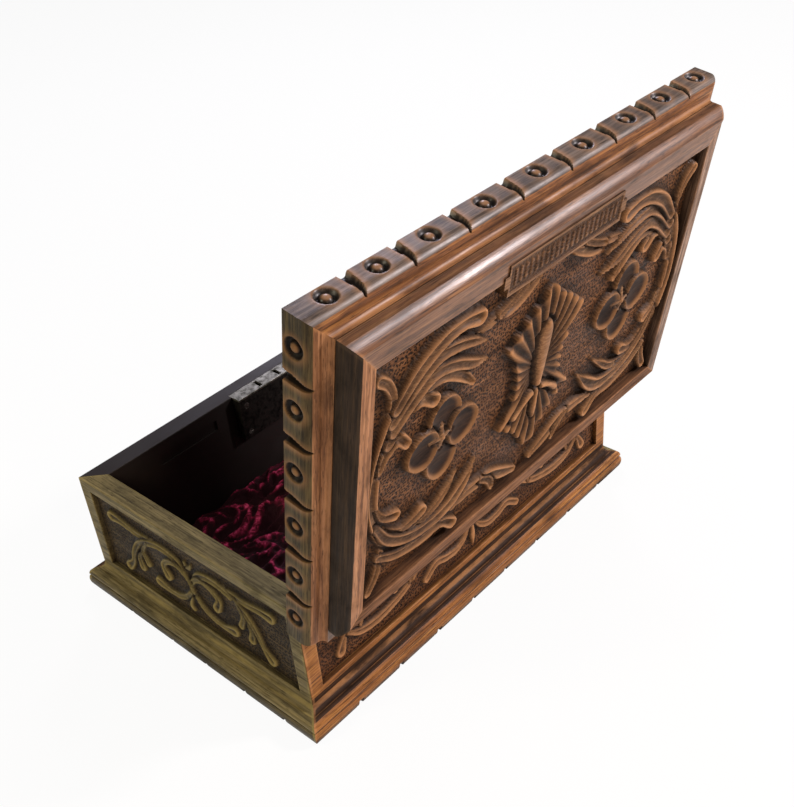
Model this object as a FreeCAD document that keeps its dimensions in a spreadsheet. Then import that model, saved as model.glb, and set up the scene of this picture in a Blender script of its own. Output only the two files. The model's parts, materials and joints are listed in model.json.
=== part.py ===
import FreeCAD, Part
import Sketcher
import math
import os

from FreeCAD import Placement, Rotation, Vector

# A carved oak box with a hinged lid, shown open. X runs along the length, Y from the
# front to the back and Z up. The origin is under the middle of the box, at the table.

doc = FreeCAD.newDocument("carved_box")
sheet = doc.addObject("Spreadsheet::Sheet", "sizes")

# The driving sizes in millimetres and degrees, one group for each part of the box
SIZES = [
    ("box_length", 300), ("box_width", 200), ("box_height", 93), ("wall", 14),
    ("field_depth", 3.5), ("stile_width", 10), ("field_base", 28.5), ("end_field_base", 24.5),
    ("top_rail", 7.5), ("base_thickness", 6), ("joint_gap", 0.1), ("overrun", 2),
    ("plinth_height", 20.4), ("plinth_out", 9), ("plinth_hollow", 4.6), ("plinth_nose", 5.2),
    ("plinth_quirk", 1.2), ("notch_width", 6), ("notch_rise", 3.4), ("notch_pitch", 35.5),
    ("lid_overhang", 11.3), ("lid_front_overhang", 7.6), ("lid_rest_gap", 0.4),
    ("open_angle", 100.6), ("edge_flat", 10.8), ("edge_round", 5.8), ("edge_fillet", 0.6),
    ("edge_hollow", 3.8), ("frame_fillet", 5.6), ("frame_chamfer", 5.2), ("frame_width", 14),
    ("frame_front_width", 17.5), ("panel_sink", 6.2), ("panel_relief", 5), ("field_relief", 2.8),
    ("roundel_radius", 5.2), ("roundel_button", 2.5), ("roundel_depth", 2), ("roundel_pitch", 35.8),
    ("cut_width", 4.6), ("cut_depth", 2.2),
    ("hinge_length", 50), ("hinge_inset", 45), ("hinge_back", 4.4), ("knuckle_radius", 3.2),
    ("pin_radius", 1.1), ("pin_gap", 0.05), ("knuckle_gap", 0.2), ("knuckle_clear", 0.4),
    ("leaf_thickness", 1.6), ("leaf_land", 11), ("leaf_gap", 0.1), ("screw_head", 2.4),
    ("screw_shank", 1.1), ("screw_length", 9), ("screw_gap", 0.05),
    ("lock_length", 63.5), ("lock_thickness", 11), ("lock_height", 34), ("lock_let_in", 3.5),
    ("lock_plate", 1.6), ("lock_sheet", 1.2), ("slot_width", 3), ("slot_length", 7.6),
    ("slot_spacing", 18), ("bolt_travel", 5), ("bolt_bar", 3), ("bolt_finger", 2.6),
    ("bolt_drop", 9.4), ("bolt_clear", 0.4), ("staple_height", 9), ("staple_gap", 0.5),
    ("staple_eye", 3.8), ("key_drop", 20), ("key_radius", 2.3), ("key_slot", 2.2),
    ("key_length", 8), ("link_length", 50), ("link_width", 11), ("link_thickness", 1.6),
    ("lock_screw_inset", 6), ("lock_screw_high", 7), ("lock_screw_low", 29),
    ("lock_screw_bite", 5.5), ("groove_middle", 72.5), ("groove_length", 49), ("groove_low", 75),
    ("groove_width", 8), ("groove_depth", 1.6),
    ("cloth_gap", 0.6), ("cloth_lift", 0.3), ("cloth_height", 16), ("cloth_fold", 7),
]
for row, (alias, value) in enumerate(SIZES, start=1):
    sheet.set("A%d" % row, alias)
    sheet.set("B%d" % row, str(value))
    sheet.setAlias("B%d" % row, alias)
doc.recompute()


S = {alias: float(value) for alias, value in SIZES}
round_sides, arc_sides = 10, 3
finished = []


def keep(node, label):
    """Name a finished sub-part and put it on the list of files."""
    node.Label = label
    finished.append(node)
    return node


def solid(label, shape, place=None):
    """A sub-part whose shape is worked out from the sheet's sizes."""
    node = doc.addObject("Part::Feature", label)
    node.Shape = shape
    if place:
        node.Placement = place.multiply(node.Placement)
    return keep(node, label)


def outline(points):
    """A face in the YZ plane; a corner with four numbers is an arc through the first two."""
    edges = []
    here = Vector(0, points[0][0], points[0][1])
    start = here
    for corner in points[1:]:
        end = Vector(0, corner[-2], corner[-1])
        if len(corner) == 4:
            edges.append(Part.Arc(here, Vector(0, corner[0], corner[1]), end).toShape())
        else:
            edges.append(Part.makeLine(here, end))
        here = end
    edges.append(Part.makeLine(here, start))
    return Part.Face(Part.Wire(edges))


def quarter(centre, radius, first, last):
    """The arc from one angle to another: its middle point and its end, for an outline."""
    middle = math.radians((first + last) / 2)
    finish = math.radians(last)
    return (centre[0] + radius * math.cos(middle), centre[1] + radius * math.sin(middle),
            centre[0] + radius * math.cos(finish), centre[1] + radius * math.sin(finish))


def prism(corners, low, high):
    """An upright prism on a plan."""
    points = [Vector(x, y, low) for x, y in corners]
    return Part.Face(Part.makePolygon(points + points[:1])).extrude(Vector(0, 0, high - low))


def block(x0, x1, y0, y1, z0, z1):
    """A box between two corners."""
    return Part.makeBox(x1 - x0, y1 - y0, z1 - z0, Vector(x0, y0, z0))


# Sketches are closed polygons whose corners are held by the sheet's sizes
def polygon_sketch(body, name, role, corners, lift=None):
    plane = [item for item in body.Origin.OriginFeatures if item.Role == role][0]
    sketch = body.newObject("Sketcher::SketchObject", name)
    sketch.AttachmentSupport = (plane, [""])
    sketch.MapMode = "FlatFace"
    if lift:
        sketch.setExpression("AttachmentOffset.Base.z", lift)
    points = [Vector(float(sheet.evalExpression(x)), float(sheet.evalExpression(y)), 0)
              for x, y in corners]
    count = len(points)
    for i in range(count):
        sketch.addGeometry(Part.LineSegment(points[i], points[(i + 1) % count]), False)
    for i in range(count):
        sketch.addConstraint(Sketcher.Constraint("Coincident", i, 2, (i + 1) % count, 1))
    for i, (x, y) in enumerate(corners):
        for kind, value, text in (("DistanceX", points[i].x, x), ("DistanceY", points[i].y, y)):
            place = sketch.addConstraint(Sketcher.Constraint(kind, -1, 1, i, 1, value))
            sketch.setExpression("Constraints[%d]" % place, text)
    return sketch


def circle_sketch(body, name, role, centres, radius, lift=None):
    """Circles of one radius whose centres are pairs of sheet expressions."""
    sketch = body.newObject("Sketcher::SketchObject", name)
    plane = [item for item in body.Origin.OriginFeatures if item.Role == role][0]
    sketch.AttachmentSupport = (plane, [""])
    sketch.MapMode = "FlatFace"
    if lift:
        sketch.setExpression("AttachmentOffset.Base.z", lift)
    wide = float(sheet.evalExpression(radius))
    for i, (x, y) in enumerate(centres):
        centre = Vector(float(sheet.evalExpression(x)), float(sheet.evalExpression(y)), 0)
        sketch.addGeometry(Part.Circle(centre, Vector(0, 0, 1), wide), False)
        for constraint, text in (
                (Sketcher.Constraint("Radius", i, wide), radius),
                (Sketcher.Constraint("DistanceX", -1, 1, i, 3, centre.x), x),
                (Sketcher.Constraint("DistanceY", -1, 1, i, 3, centre.y), y)):
            place = sketch.addConstraint(constraint)
            sketch.setExpression("Constraints[%d]" % place, text)
    return sketch


def facet_cone(low_radius, low, high_radius, high):
    """A small round form on the Z axis, drawn with a few flat sides because there are many."""
    rings = []
    for radius, z in ((low_radius, low), (high_radius, high)):
        turns = [2 * math.pi * i / round_sides for i in range(round_sides)]
        corners = [Vector(radius * math.cos(turn), radius * math.sin(turn), z) for turn in turns]
        rings.append(Part.makePolygon(corners + corners[:1]))
    return Part.makeLoft(rings, True, True)


def moved(shape, place):
    copy = shape.copy()
    copy.Placement = place.multiply(copy.Placement)
    return copy


def faceted(bank):
    """The corners of a chain of arcs, three points to an arc, drawn with a few flat faces because
    there are many."""
    corners = bank[:1]
    for i in range(0, len(bank) - 2, 2):
        corners += Part.Arc(*bank[i:i + 3]).toShape().discretize(Number=arc_sides + 1)[1:]
    return corners


def ribbon(points, low, high):
    """A leaf or stem of the carving, standing up from the XY plane: a band between two chains of
    arcs. Each of its points has a half width, and every second one ends an arc."""
    banks = ([], [])
    for i, (x, y, half) in enumerate(points):
        before, after = points[max(i - 1, 0)], points[min(i + 1, len(points) - 1)]
        run = Vector(after[0] - before[0], after[1] - before[1], 0).normalize()
        for bank, way in zip(banks, (half, -half)):
            bank.append(Vector(x - way * run.y, y + way * run.x, low))
    corners = faceted(banks[0]) + faceted(banks[1][::-1])
    return Part.Face(Part.makePolygon(corners + corners[:1])).extrude(Vector(0, 0, high - low))


def carved_field(forms, half, foot, rise, bed, relief):
    """The main forms of a carved field, in its left and right halves. A point of a form is shares
    of the field's half length and height, then its half width as a share of the height."""
    shapes = []
    for form, level in forms:
        points = [(x * half, foot + y * rise, wide * abs(rise)) for x, y, wide in form]
        raised = ribbon(points, bed - relief / 2, bed + relief * level)
        shapes.append(raised)
        if any(x for x, y, wide in form):
            shapes.append(raised.mirror(Vector(), Vector(1, 0, 0)))
    return shapes


def rectangle(x0, x1, y0, y1):
    return [(x0, y0), (x1, y0), (x1, y1), (x0, y1)]


def pocket(body, name, sketch, depth, outward=False):
    """A pocket that has to remove wood."""
    before = body.Shape.Volume if not body.Shape.isNull() else None
    cut = body.newObject("PartDesign::Pocket", name)
    cut.Profile = sketch
    cut.setExpression("Length", depth)
    cut.Reversed = outward
    doc.recompute()
    if before is not None and body.Shape.Volume >= before:
        raise RuntimeError(name + " removed nothing")
    return cut


# The four boards of the case meet in mitres. Each is drawn with its outer face on the X axis,
# and has a sunk field between its stiles and rails.
def board(label, length, turn, along, across, base):
    body = doc.addObject("PartDesign::Body", label)
    half = "sizes.%s / 2" % length
    plan = polygon_sketch(body, label + "_plan", "XY_Plane", [
        ("-" + half, "0"), (half, "0"),
        (half + " - sizes.wall", "sizes.wall"), ("-" + half + " + sizes.wall", "sizes.wall")])
    pad = body.newObject("PartDesign::Pad", label + "_pad")
    pad.Profile = plan
    pad.setExpression("Length", "sizes.box_height")
    doc.recompute()
    field = polygon_sketch(body, label + "_field", "XZ_Plane", rectangle(
        "-" + half + " + sizes.stile_width", half + " - sizes.stile_width",
        base, "sizes.box_height - sizes.top_rail"))
    pocket(body, label + "_sunk_field", field, "sizes.field_depth")
    body.Placement = Placement(Vector(), Rotation(Vector(0, 0, 1), turn))
    body.setExpression("Placement.Base.x", along)
    body.setExpression("Placement.Base.y", across)
    return body


field_line, end_line = "sizes.field_base", "sizes.end_field_base"
front = board("front_blank", "box_length", 0, "0", "-sizes.box_width / 2", field_line)
back = board("back_blank", "box_length", 180, "0", "sizes.box_width / 2", field_line)
left_end = board("left_end_blank", "box_width", 90, "sizes.box_length / 2", "0", end_line)
right_end = board("right_end_blank", "box_width", -90, "-sizes.box_length / 2", "0", end_line)

# The front board is cut for the lock, its keyhole and a shallow groove inside
lock_bed = polygon_sketch(front, "lock_bed", "XY_Plane", rectangle(
    "-sizes.lock_length / 2 - sizes.joint_gap", "sizes.lock_length / 2 + sizes.joint_gap",
    "sizes.wall - sizes.lock_let_in - sizes.joint_gap", "sizes.wall + sizes.overrun"),
    "sizes.box_height")
pocket(front, "lock_mortise", lock_bed, "sizes.lock_height + sizes.joint_gap")
key_face = "sizes.box_height - sizes.key_drop"
keyway = polygon_sketch(front, "keyway", "XZ_Plane", rectangle(
    "-sizes.key_slot / 2", "sizes.key_slot / 2", key_face + " - sizes.key_length", key_face))
pocket(front, "keyway_slot", keyway, "sizes.wall")
eye = circle_sketch(front, "key_eye", "XZ_Plane", [("0", key_face)], "sizes.key_radius")
pocket(front, "key_round", eye, "sizes.wall")

screw_x = "%ssizes.lock_length / 2 %s sizes.lock_screw_inset"
lock_holes = circle_sketch(front, "lock_screw_holes", "XZ_Plane", [
    (screw_x % pair, "sizes.box_height - sizes.lock_screw_" + row)
    for pair in (("-", "+"), ("", "-")) for row in ("high", "low")],
    "sizes.screw_shank + sizes.screw_gap", "-sizes.wall + sizes.lock_let_in")
pocket(front, "lock_screw_bores", lock_holes, "sizes.lock_screw_bite", True)

groove = polygon_sketch(front, "inner_groove", "XZ_Plane", rectangle(
    "sizes.groove_middle - sizes.groove_length / 2", "sizes.groove_middle + sizes.groove_length / 2",
    "sizes.groove_low", "sizes.groove_low + sizes.groove_width"), "-sizes.wall")
pocket(front, "inner_groove_cut", groove, "sizes.groove_depth", True)

# The back board is cut for the two hinge leaves
for side, sign in (("left", "-"), ("right", "")):
    middle = "%s(sizes.box_length / 2 - sizes.hinge_inset - sizes.hinge_length / 2)" % sign
    bed = polygon_sketch(back, side + "_leaf_bed", "XY_Plane", rectangle(
        middle + " - sizes.hinge_length / 2 - sizes.leaf_gap",
        middle + " + sizes.hinge_length / 2 + sizes.leaf_gap",
        "-sizes.overrun", "sizes.leaf_land + sizes.leaf_gap"), "sizes.box_height")
    pocket(back, side + "_leaf_mortise", bed, "sizes.leaf_thickness")
    line = "sizes.leaf_land / 2"
    step = " %s sizes.hinge_length / 3"
    holes = circle_sketch(back, side + "_screw_holes", "XY_Plane",
                          [(middle, line), (middle + step % "-", line), (middle + step % "+", line)],
                          "sizes.screw_shank + sizes.screw_gap", "sizes.box_height")
    pocket(back, side + "_screw_bores", holes, "sizes.screw_length + sizes.screw_gap")

# Scrolled leaves stand in the sunk fields. The carver's finish on them is left out, and each form
# has its own level, a share of the relief
long_leaf_shares = (
    (((0.357, 0.412, 0.028), (0.6, 0.2, 0.06), (0.814, 0.342, 0.039)), 1),
    (((0.743, 0.325, 0.035), (0.735, 0.6, 0.053), (0.6, 0.765, 0.056), (0.49, 0.7, 0.053),
      (0.471, 0.5, 0.049)), 0.96),
    (((0.429, 0.325, 0.028), (0.4, 0.62, 0.05), (0.271, 0.781, 0.056), (0.16, 0.7, 0.051),
      (0.129, 0.52, 0.049)), 0.92),
    (((0.025, 0.412, 0.028), (0.08, 0.26, 0.05), (0.16, 0.215, 0.055), (0.26, 0.265, 0.056),
      (0.329, 0.167, 0.05)), 0.88),
    (((0.914, 0.763, 0.067), (0.857, 0.658, 0.049), (0.743, 0.325, 0.039)), 0.84),
    (((0.8, 0.412, 0.042), (0.843, 0.325, 0.049), (0.871, 0.184, 0.07)), 0.8),
)
end_leaf_shares = (
    (((0.022, 0.582, 0.036), (0.25, 0.785, 0.05), (0.5, 0.68, 0.05), (0.64, 0.43, 0.046),
      (0.756, 0.156, 0.065)), 1),
    (((0.022, 0.385, 0.036), (0.178, 0.205, 0.046), (0.4, 0.221, 0.069)), 0.94),
    (((0.03, 0.5, 0.036), (0.09, 0.62, 0.043), (0.19, 0.65, 0.043), (0.28, 0.56, 0.046),
      (0.25, 0.418, 0.06)), 0.88),
)


def carved_board(label, blank, leaf_shares, length, foot):
    """A board with its leaves: they are drawn lying down and then stood up in its sunk field."""
    half = S[length] / 2 - S["stile_width"]
    rise = S["box_height"] - S["top_rail"] - S[foot]
    leaves = carved_field(leaf_shares, half, S[foot], rise, -S["field_depth"], S["field_relief"])
    upright = blank.Placement.multiply(Placement(Vector(), Rotation(Vector(1, 0, 0), 90)))
    return solid(label, blank.Shape.fuse([moved(leaf, upright) for leaf in leaves]).removeSplitter())


doc.recompute()
for side, blank in (("front", front), ("back", back)):
    carved_board(side + "_board", blank, long_leaf_shares, "box_length", "field_base")
for side, blank in (("left", left_end), ("right", right_end)):
    carved_board(side + "_end_board", blank, end_leaf_shares, "box_width", "end_field_base")

# The bottom is one thin board between the four sides
base = doc.addObject("Part::Box", "bottom_board")
inside = "sizes.%s - 2 * sizes.wall - 2 * sizes.joint_gap"
base.setExpression("Length", inside % "box_length")
base.setExpression("Width", inside % "box_width")
base.setExpression("Height", "sizes.base_thickness")
base.setExpression("Placement.Base.x", "-sizes.box_length / 2 + sizes.wall + sizes.joint_gap")
base.setExpression("Placement.Base.y", "-sizes.box_width / 2 + sizes.wall + sizes.joint_gap")
keep(base, "bottom_board")


# The plinth is a planted moulding in four mitred lengths: a hollow under the wall, a round
# member, a quirk and a thumb moulding, with gouge notches along its lower edge
def plinth_profile():
    out, top = S["plinth_out"], S["plinth_height"]
    hollow, nose, quirk = S["plinth_hollow"], S["plinth_nose"], S["plinth_quirk"]
    shoulder = top - hollow
    tip = shoulder - nose
    reach = out + quirk / 2
    return outline([
        (0, 0), (0, top),
        quarter((-hollow, top), hollow, 0, -90),
        (-(out - nose), shoulder),
        quarter((-(out - nose), tip), nose, 90, 180),
        (-(out - quirk), tip - quirk / 2),
        (-(out - quirk / 2) - quirk / 2, tip - quirk),
        (-reach, tip / 2, -(out - quirk), 0),
    ])


notch_taper_share = 0.1


def notch_mouth(middle, y, width, rise):
    """The triangle of a gouge notch at one distance from the wall."""
    return Part.makePolygon([Vector(middle - width / 2, y, 0), Vector(middle + width / 2, y, 0),
                             Vector(middle, y, rise), Vector(middle - width / 2, y, 0)])


def plinth_length(label, half, turn, place):
    reach = S["plinth_out"] + S["plinth_quirk"] + S["overrun"]
    length = 2 * (half + reach)
    bar = plinth_profile().extrude(Vector(length, 0, 0))
    bar.translate(Vector(-half - reach, 0, 0))
    mitre = prism([(-half, 0), (half, 0), (half + reach, -reach), (-half - reach, -reach)],
                  0, S["plinth_height"])
    bar = bar.common(mitre)
    count = int((2 * half + S["plinth_out"]) // S["notch_pitch"])
    for i in range(count):
        middle = (i - (count - 1) / 2) * S["notch_pitch"]
        mouth = notch_mouth(middle, -reach, S["notch_width"], S["notch_rise"])
        root = notch_mouth(middle, -S["plinth_out"] + S["notch_rise"],
                           S["notch_width"] * notch_taper_share, S["notch_rise"] * notch_taper_share)
        bar = bar.cut(Part.makeLoft([mouth, root], True))
    return solid(label, bar, Placement(place, Rotation(Vector(0, 0, 1), turn)))


half_length, half_width = S["box_length"] / 2, S["box_width"] / 2
plinth_length("plinth_front", half_length, 0, Vector(0, -half_width, 0))
plinth_length("plinth_back", half_length, 180, Vector(0, half_width, 0))
plinth_length("plinth_left", half_width, 90, Vector(half_length, 0, 0))
plinth_length("plinth_right", half_width, -90, Vector(-half_length, 0, 0))

# A loose velvet cloth lies rucked on the bottom, in rounded folds that bend as they run back
crease_shares = ((-1, 0.35), (-0.72, 0.6), (-0.46, 0.3), (-0.2, 0.8), (0.1, 0.45), (0.38, 0.75),
                 (0.68, 0.4), (1, 0.55))
bend_shares = ((-1, -0.06), (-0.1, 0.05), (1, -0.03))
crest_share = 0.55


def ruck_section(y, x_half, low, bend):
    """The outline of the cloth at one distance from the back, a chain of arcs over a flat foot."""
    creases = [(x * x_half + (bend * x_half if abs(x) < 1 else 0),
                low + S["cloth_height"] + S["cloth_fold"] * (share - 1)) for x, share in crease_shares]
    edges = []
    for (x0, z0), (x1, z1) in zip(creases, creases[1:]):
        top = Vector((x0 + x1) / 2, y, (z0 + z1) / 2 + S["cloth_fold"] * crest_share)
        edges.append(Part.Arc(Vector(x0, y, z0), top, Vector(x1, y, z1)).toShape())
    feet = [Vector(creases[-1][0], y, creases[-1][1]), Vector(x_half, y, low),
            Vector(-x_half, y, low), Vector(creases[0][0], y, creases[0][1])]
    edges += [Part.makeLine(feet[i], feet[i + 1]) for i in range(3)]
    return Part.Wire(edges)


def velvet():
    x_half = half_length - S["wall"] - S["cloth_gap"]
    y_half = half_width - S["wall"] - S["cloth_gap"]
    low = S["base_thickness"] + S["cloth_lift"]
    sections = [ruck_section(place * y_half, x_half, low, bend) for place, bend in bend_shares]
    return Part.makeLoft(sections, True, True)


solid("velvet_cloth", velvet())

# The lock is a box lock screwed behind the front board, with its plate let into the rim
lock_back = -half_width + S["wall"] - S["lock_let_in"]
lock_front = lock_back + S["lock_thickness"]
lock_middle = (lock_back + lock_front) / 2
rim = S["box_height"]
half_lock = S["lock_length"] / 2
plate_low = rim - S["lock_plate"]

case = block(-half_lock, half_lock, lock_back, lock_front, rim - S["lock_height"], plate_low)
sheet_metal = S["lock_sheet"]
case = case.cut(block(-half_lock + sheet_metal, half_lock - sheet_metal, lock_back + sheet_metal,
                      lock_front - sheet_metal, rim - S["lock_height"] + sheet_metal,
                      plate_low + S["overrun"]))
key_height = rim - S["key_drop"]
key_hole = Part.makeCylinder(S["key_radius"], S["lock_thickness"] / 2,
                             Vector(0, lock_back - S["overrun"], key_height), Vector(0, 1, 0))
key_hole = key_hole.fuse(block(-S["key_slot"] / 2, S["key_slot"] / 2, lock_back - S["overrun"],
                               lock_back + S["lock_thickness"] / 2 - S["overrun"],
                               key_height - S["key_length"], key_height))
key_pin = Part.makeCylinder(S["pin_radius"], S["lock_thickness"] - 2 * sheet_metal,
                            Vector(0, lock_back + sheet_metal, key_height), Vector(0, 1, 0))
case = case.cut(key_hole).fuse(key_pin).removeSplitter()

plate = block(-half_lock, half_lock, lock_back, lock_front, plate_low, rim)
slots = [sign * S["slot_spacing"] / 2 for sign in (-1, 1)]
for x in slots:
    plate = plate.cut(block(x - S["slot_width"] / 2, x + S["slot_width"] / 2,
                            lock_middle - S["slot_length"] / 2, lock_middle + S["slot_length"] / 2,
                            plate_low - S["overrun"], rim + S["overrun"]))
solid("lock_plate", plate)

# The bolt is a bar with two fingers, which slide through the eyes of the link
eye_middle = plate_low - (S["staple_height"] - S["lock_plate"]) / 2
finger_half = S["bolt_finger"] / 2
bar_top = rim - S["bolt_drop"]
bar_half = S["lock_thickness"] / 2 - sheet_metal - S["bolt_clear"]
finger_back = S["slot_width"] / 2 + S["bolt_clear"] + S["bolt_travel"] + S["bolt_bar"]
bolt = block(slots[0] - finger_back, slots[1], lock_middle - bar_half, lock_middle + bar_half,
             bar_top - S["bolt_bar"], bar_top)
for x in slots:
    post = x - finger_back
    bolt = bolt.fuse(block(post, post + S["bolt_bar"], lock_middle - finger_half,
                           lock_middle + finger_half, bar_top - S["bolt_bar"],
                           eye_middle + finger_half))
    bolt = bolt.fuse(block(post, x - S["slot_width"] / 2 - S["bolt_clear"],
                           lock_middle - finger_half, lock_middle + finger_half,
                           eye_middle - finger_half, eye_middle + finger_half))
solid("lock_bolt", bolt.removeSplitter())


def wood_screw(head, shank, length):
    """A countersunk screw, its head up and flush at z = 0."""
    cone = facet_cone(shank, shank - head, head, 0)
    return cone.fuse(facet_cone(shank, -length, shank, shank - head))


def countersink(head, shank, length, gap):
    """The hole for such a screw, with the same gap all round."""
    return wood_screw(head + gap, shank + gap, length + gap)


screw = wood_screw(S["screw_head"], S["screw_shank"], S["screw_length"])
sink = countersink(S["screw_head"], S["screw_shank"], S["screw_length"], S["screw_gap"])


def screws(label, places):
    """A group of like screws, one solid at each place."""
    return solid(label, Part.makeCompound([moved(screw, place) for place in places]))


def drilled(shape, places):
    """The same places, drilled and countersunk."""
    for place in places:
        shape = shape.cut(moved(sink, place))
    return shape


# The lid is drawn closed, from the hinge pin, and then turned open
axis_y = half_width + S["hinge_back"]
open_lid = Placement(Vector(0, axis_y, rim), Rotation(Vector(1, 0, 0), -S["open_angle"]))
lid_half = half_length + S["lid_overhang"]
lid_deep = axis_y + half_width + S["lid_front_overhang"]
lid_low = S["lid_rest_gap"]
slab_top = S["edge_flat"] + S["edge_round"] + S["edge_hollow"]
inset = S["edge_round"] + S["edge_fillet"] + S["edge_hollow"]
panel_top = slab_top + S["frame_fillet"] + S["frame_chamfer"]


def edge_moulding(front_line):
    """The moulded edge of the slab, from its top down to its underside."""
    return [
        (front_line + inset, slab_top),
        quarter((front_line + inset - S["edge_hollow"], slab_top), S["edge_hollow"], 0, -90),
        (front_line + S["edge_round"], S["edge_flat"] + S["edge_round"]),
        quarter((front_line + S["edge_round"], S["edge_flat"]), S["edge_round"], 90, 180),
        (front_line, lid_low),
    ]


def lid_slab():
    front_run = outline([(0, lid_low), (0, slab_top)] + edge_moulding(-lid_deep))
    slab = front_run.extrude(Vector(2 * lid_half, 0, 0))
    slab.translate(Vector(-lid_half, 0, 0))
    side_run = outline([(0, lid_low), (0, slab_top)] + edge_moulding(-lid_half))
    side_run = side_run.extrude(Vector(lid_deep, 0, 0))
    side_run.rotate(Vector(), Vector(0, 0, 1), -90)
    sides = side_run.fuse(side_run.mirror(Vector(), Vector(1, 0, 0))).removeSplitter()
    return slab.common(sides)


# Roundels with a button in each run along the edge, with a tapered gouge cut between them
ring = facet_cone(S["roundel_radius"], 0, S["roundel_radius"], S["roundel_depth"]).cut(
    facet_cone(S["roundel_button"], 0, S["roundel_button"], S["roundel_depth"]))
roundel_height = (S["edge_flat"] + S["edge_round"] - lid_low) / 2 - S["edge_fillet"]


def edge_cells(length):
    """The middles of the cells along an edge, and the lines between them."""
    count = round(length / S["roundel_pitch"])
    pitch = length / count
    middles = [(i + 1 / 2) * pitch - length / 2 for i in range(count)]
    return middles, [i * pitch - length / 2 for i in range(1, count)]


cut_taper_share = 0.3
cut_lean_share = 0.8


def cut_section(middle, height, width, depth):
    """The triangle of a gouge cut at one height on the edge."""
    proud = S["overrun"]
    half = width / 2 * (depth + proud) / depth
    return Part.makePolygon([
        Vector(middle - half, -proud, height), Vector(middle + half, -proud, height),
        Vector(middle, depth, height), Vector(middle - half, -proud, height)])


def carve_edge(shape, length, place):
    middles, lines = edge_cells(length)
    for x in middles:
        shape = shape.cut(moved(ring, place.multiply(
            Placement(Vector(x, 0, roundel_height), Rotation(Vector(1, 0, 0), -90)))))
    foot = lid_low - S["edge_fillet"]
    head = S["edge_flat"] + S["edge_round"] * math.sin(math.radians(45))
    for x in lines:
        mouth = cut_section(x, foot, S["cut_width"], S["cut_depth"])
        end = cut_section(x, head, S["cut_width"] * cut_taper_share, S["cut_depth"] * cut_lean_share)
        shape = shape.cut(moved(Part.makeLoft([mouth, end], True), place))
    return shape


slab = lid_slab()
side_turn = Rotation(Vector(0, 0, 1), 90)
slab = carve_edge(slab, 2 * lid_half, Placement(Vector(0, -lid_deep, 0), Rotation()))
slab = carve_edge(slab, lid_deep, Placement(Vector(lid_half, -lid_deep / 2, 0), side_turn))
slab = carve_edge(slab, lid_deep, Placement(Vector(-lid_half, -lid_deep / 2, 0), side_turn.inverted()))

# Two brass butt hinges have their knuckles behind the case: three knuckles, two on the box
hinge_half = S["hinge_length"] / 2
hinge_at = half_length - S["hinge_inset"] - hinge_half
knuckles = 3
leaf_reach = S["hinge_back"] + S["leaf_land"]
along_x = Rotation(Vector(0, 1, 0), 90)


def rod(radius, start, end):
    """A cylinder on the hinge axis."""
    shape = Part.makeCylinder(radius, end - start)
    shape.Placement = Placement(Vector(start, 0, 0), along_x)
    return shape


def leaf(low, first):
    """A hinge leaf with every second knuckle, beginning with one of them."""
    shape = block(-hinge_half, hinge_half, -leaf_reach, 0, low, low + S["leaf_thickness"])
    step = S["hinge_length"] / knuckles
    gap = S["knuckle_gap"] / 2
    own = []
    for i in range(knuckles):
        start = -hinge_half + i * step
        if i % 2 == first:
            own.append(rod(S["knuckle_radius"], start + gap, start + step - gap))
        else:
            shape = shape.cut(rod(S["knuckle_radius"] + S["knuckle_clear"], start - gap,
                                  start + step + gap))
    shape = shape.fuse(own)
    bore = rod(S["pin_radius"] + S["pin_gap"], -hinge_half - S["overrun"], hinge_half + S["overrun"])
    return shape.cut(bore).removeSplitter()


screw_line = -S["hinge_back"] - S["leaf_land"] / 2
screw_step = S["hinge_length"] / 3
upside_down = Rotation(Vector(1, 0, 0), 180)
box_screws, lid_screws = [], []
for side, sign in (("left", 1), ("right", -1)):
    middle = sign * hinge_at
    at_pin = Placement(Vector(middle, 0, 0), Rotation())
    box_rows = [Placement(Vector(i * screw_step, screw_line, 0), Rotation()) for i in (-1, 0, 1)]
    lid_rows = [Placement(Vector(i * screw_step, screw_line, lid_low), upside_down)
                for i in (-1, 0, 1)]
    box_place = Placement(Vector(middle, axis_y, rim), Rotation())
    lid_place = open_lid.multiply(at_pin)
    solid(side + "_hinge_box_leaf", drilled(leaf(-S["leaf_thickness"], 0), box_rows), box_place)
    solid(side + "_hinge_lid_leaf", drilled(leaf(lid_low, 1), lid_rows), lid_place)
    solid(side + "_hinge_pin", rod(S["pin_radius"], -hinge_half, hinge_half), box_place)
    box_screws += [box_place.multiply(row) for row in box_rows]
    lid_screws += [lid_place.multiply(row) for row in lid_rows]
    bed = block(-hinge_half - S["leaf_gap"], hinge_half + S["leaf_gap"],
                -leaf_reach - S["leaf_gap"], S["overrun"], lid_low - S["overrun"],
                lid_low + S["leaf_thickness"])
    bed = bed.fuse(rod(S["knuckle_radius"] + S["knuckle_clear"], -hinge_half - S["leaf_gap"],
                       hinge_half + S["leaf_gap"]))
    slab = slab.cut(moved(bed, at_pin))
    slab = drilled(slab, [at_pin.multiply(row) for row in lid_rows])
screws("box_hinge_screws", box_screws)
screws("lid_hinge_screws", lid_screws)

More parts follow.
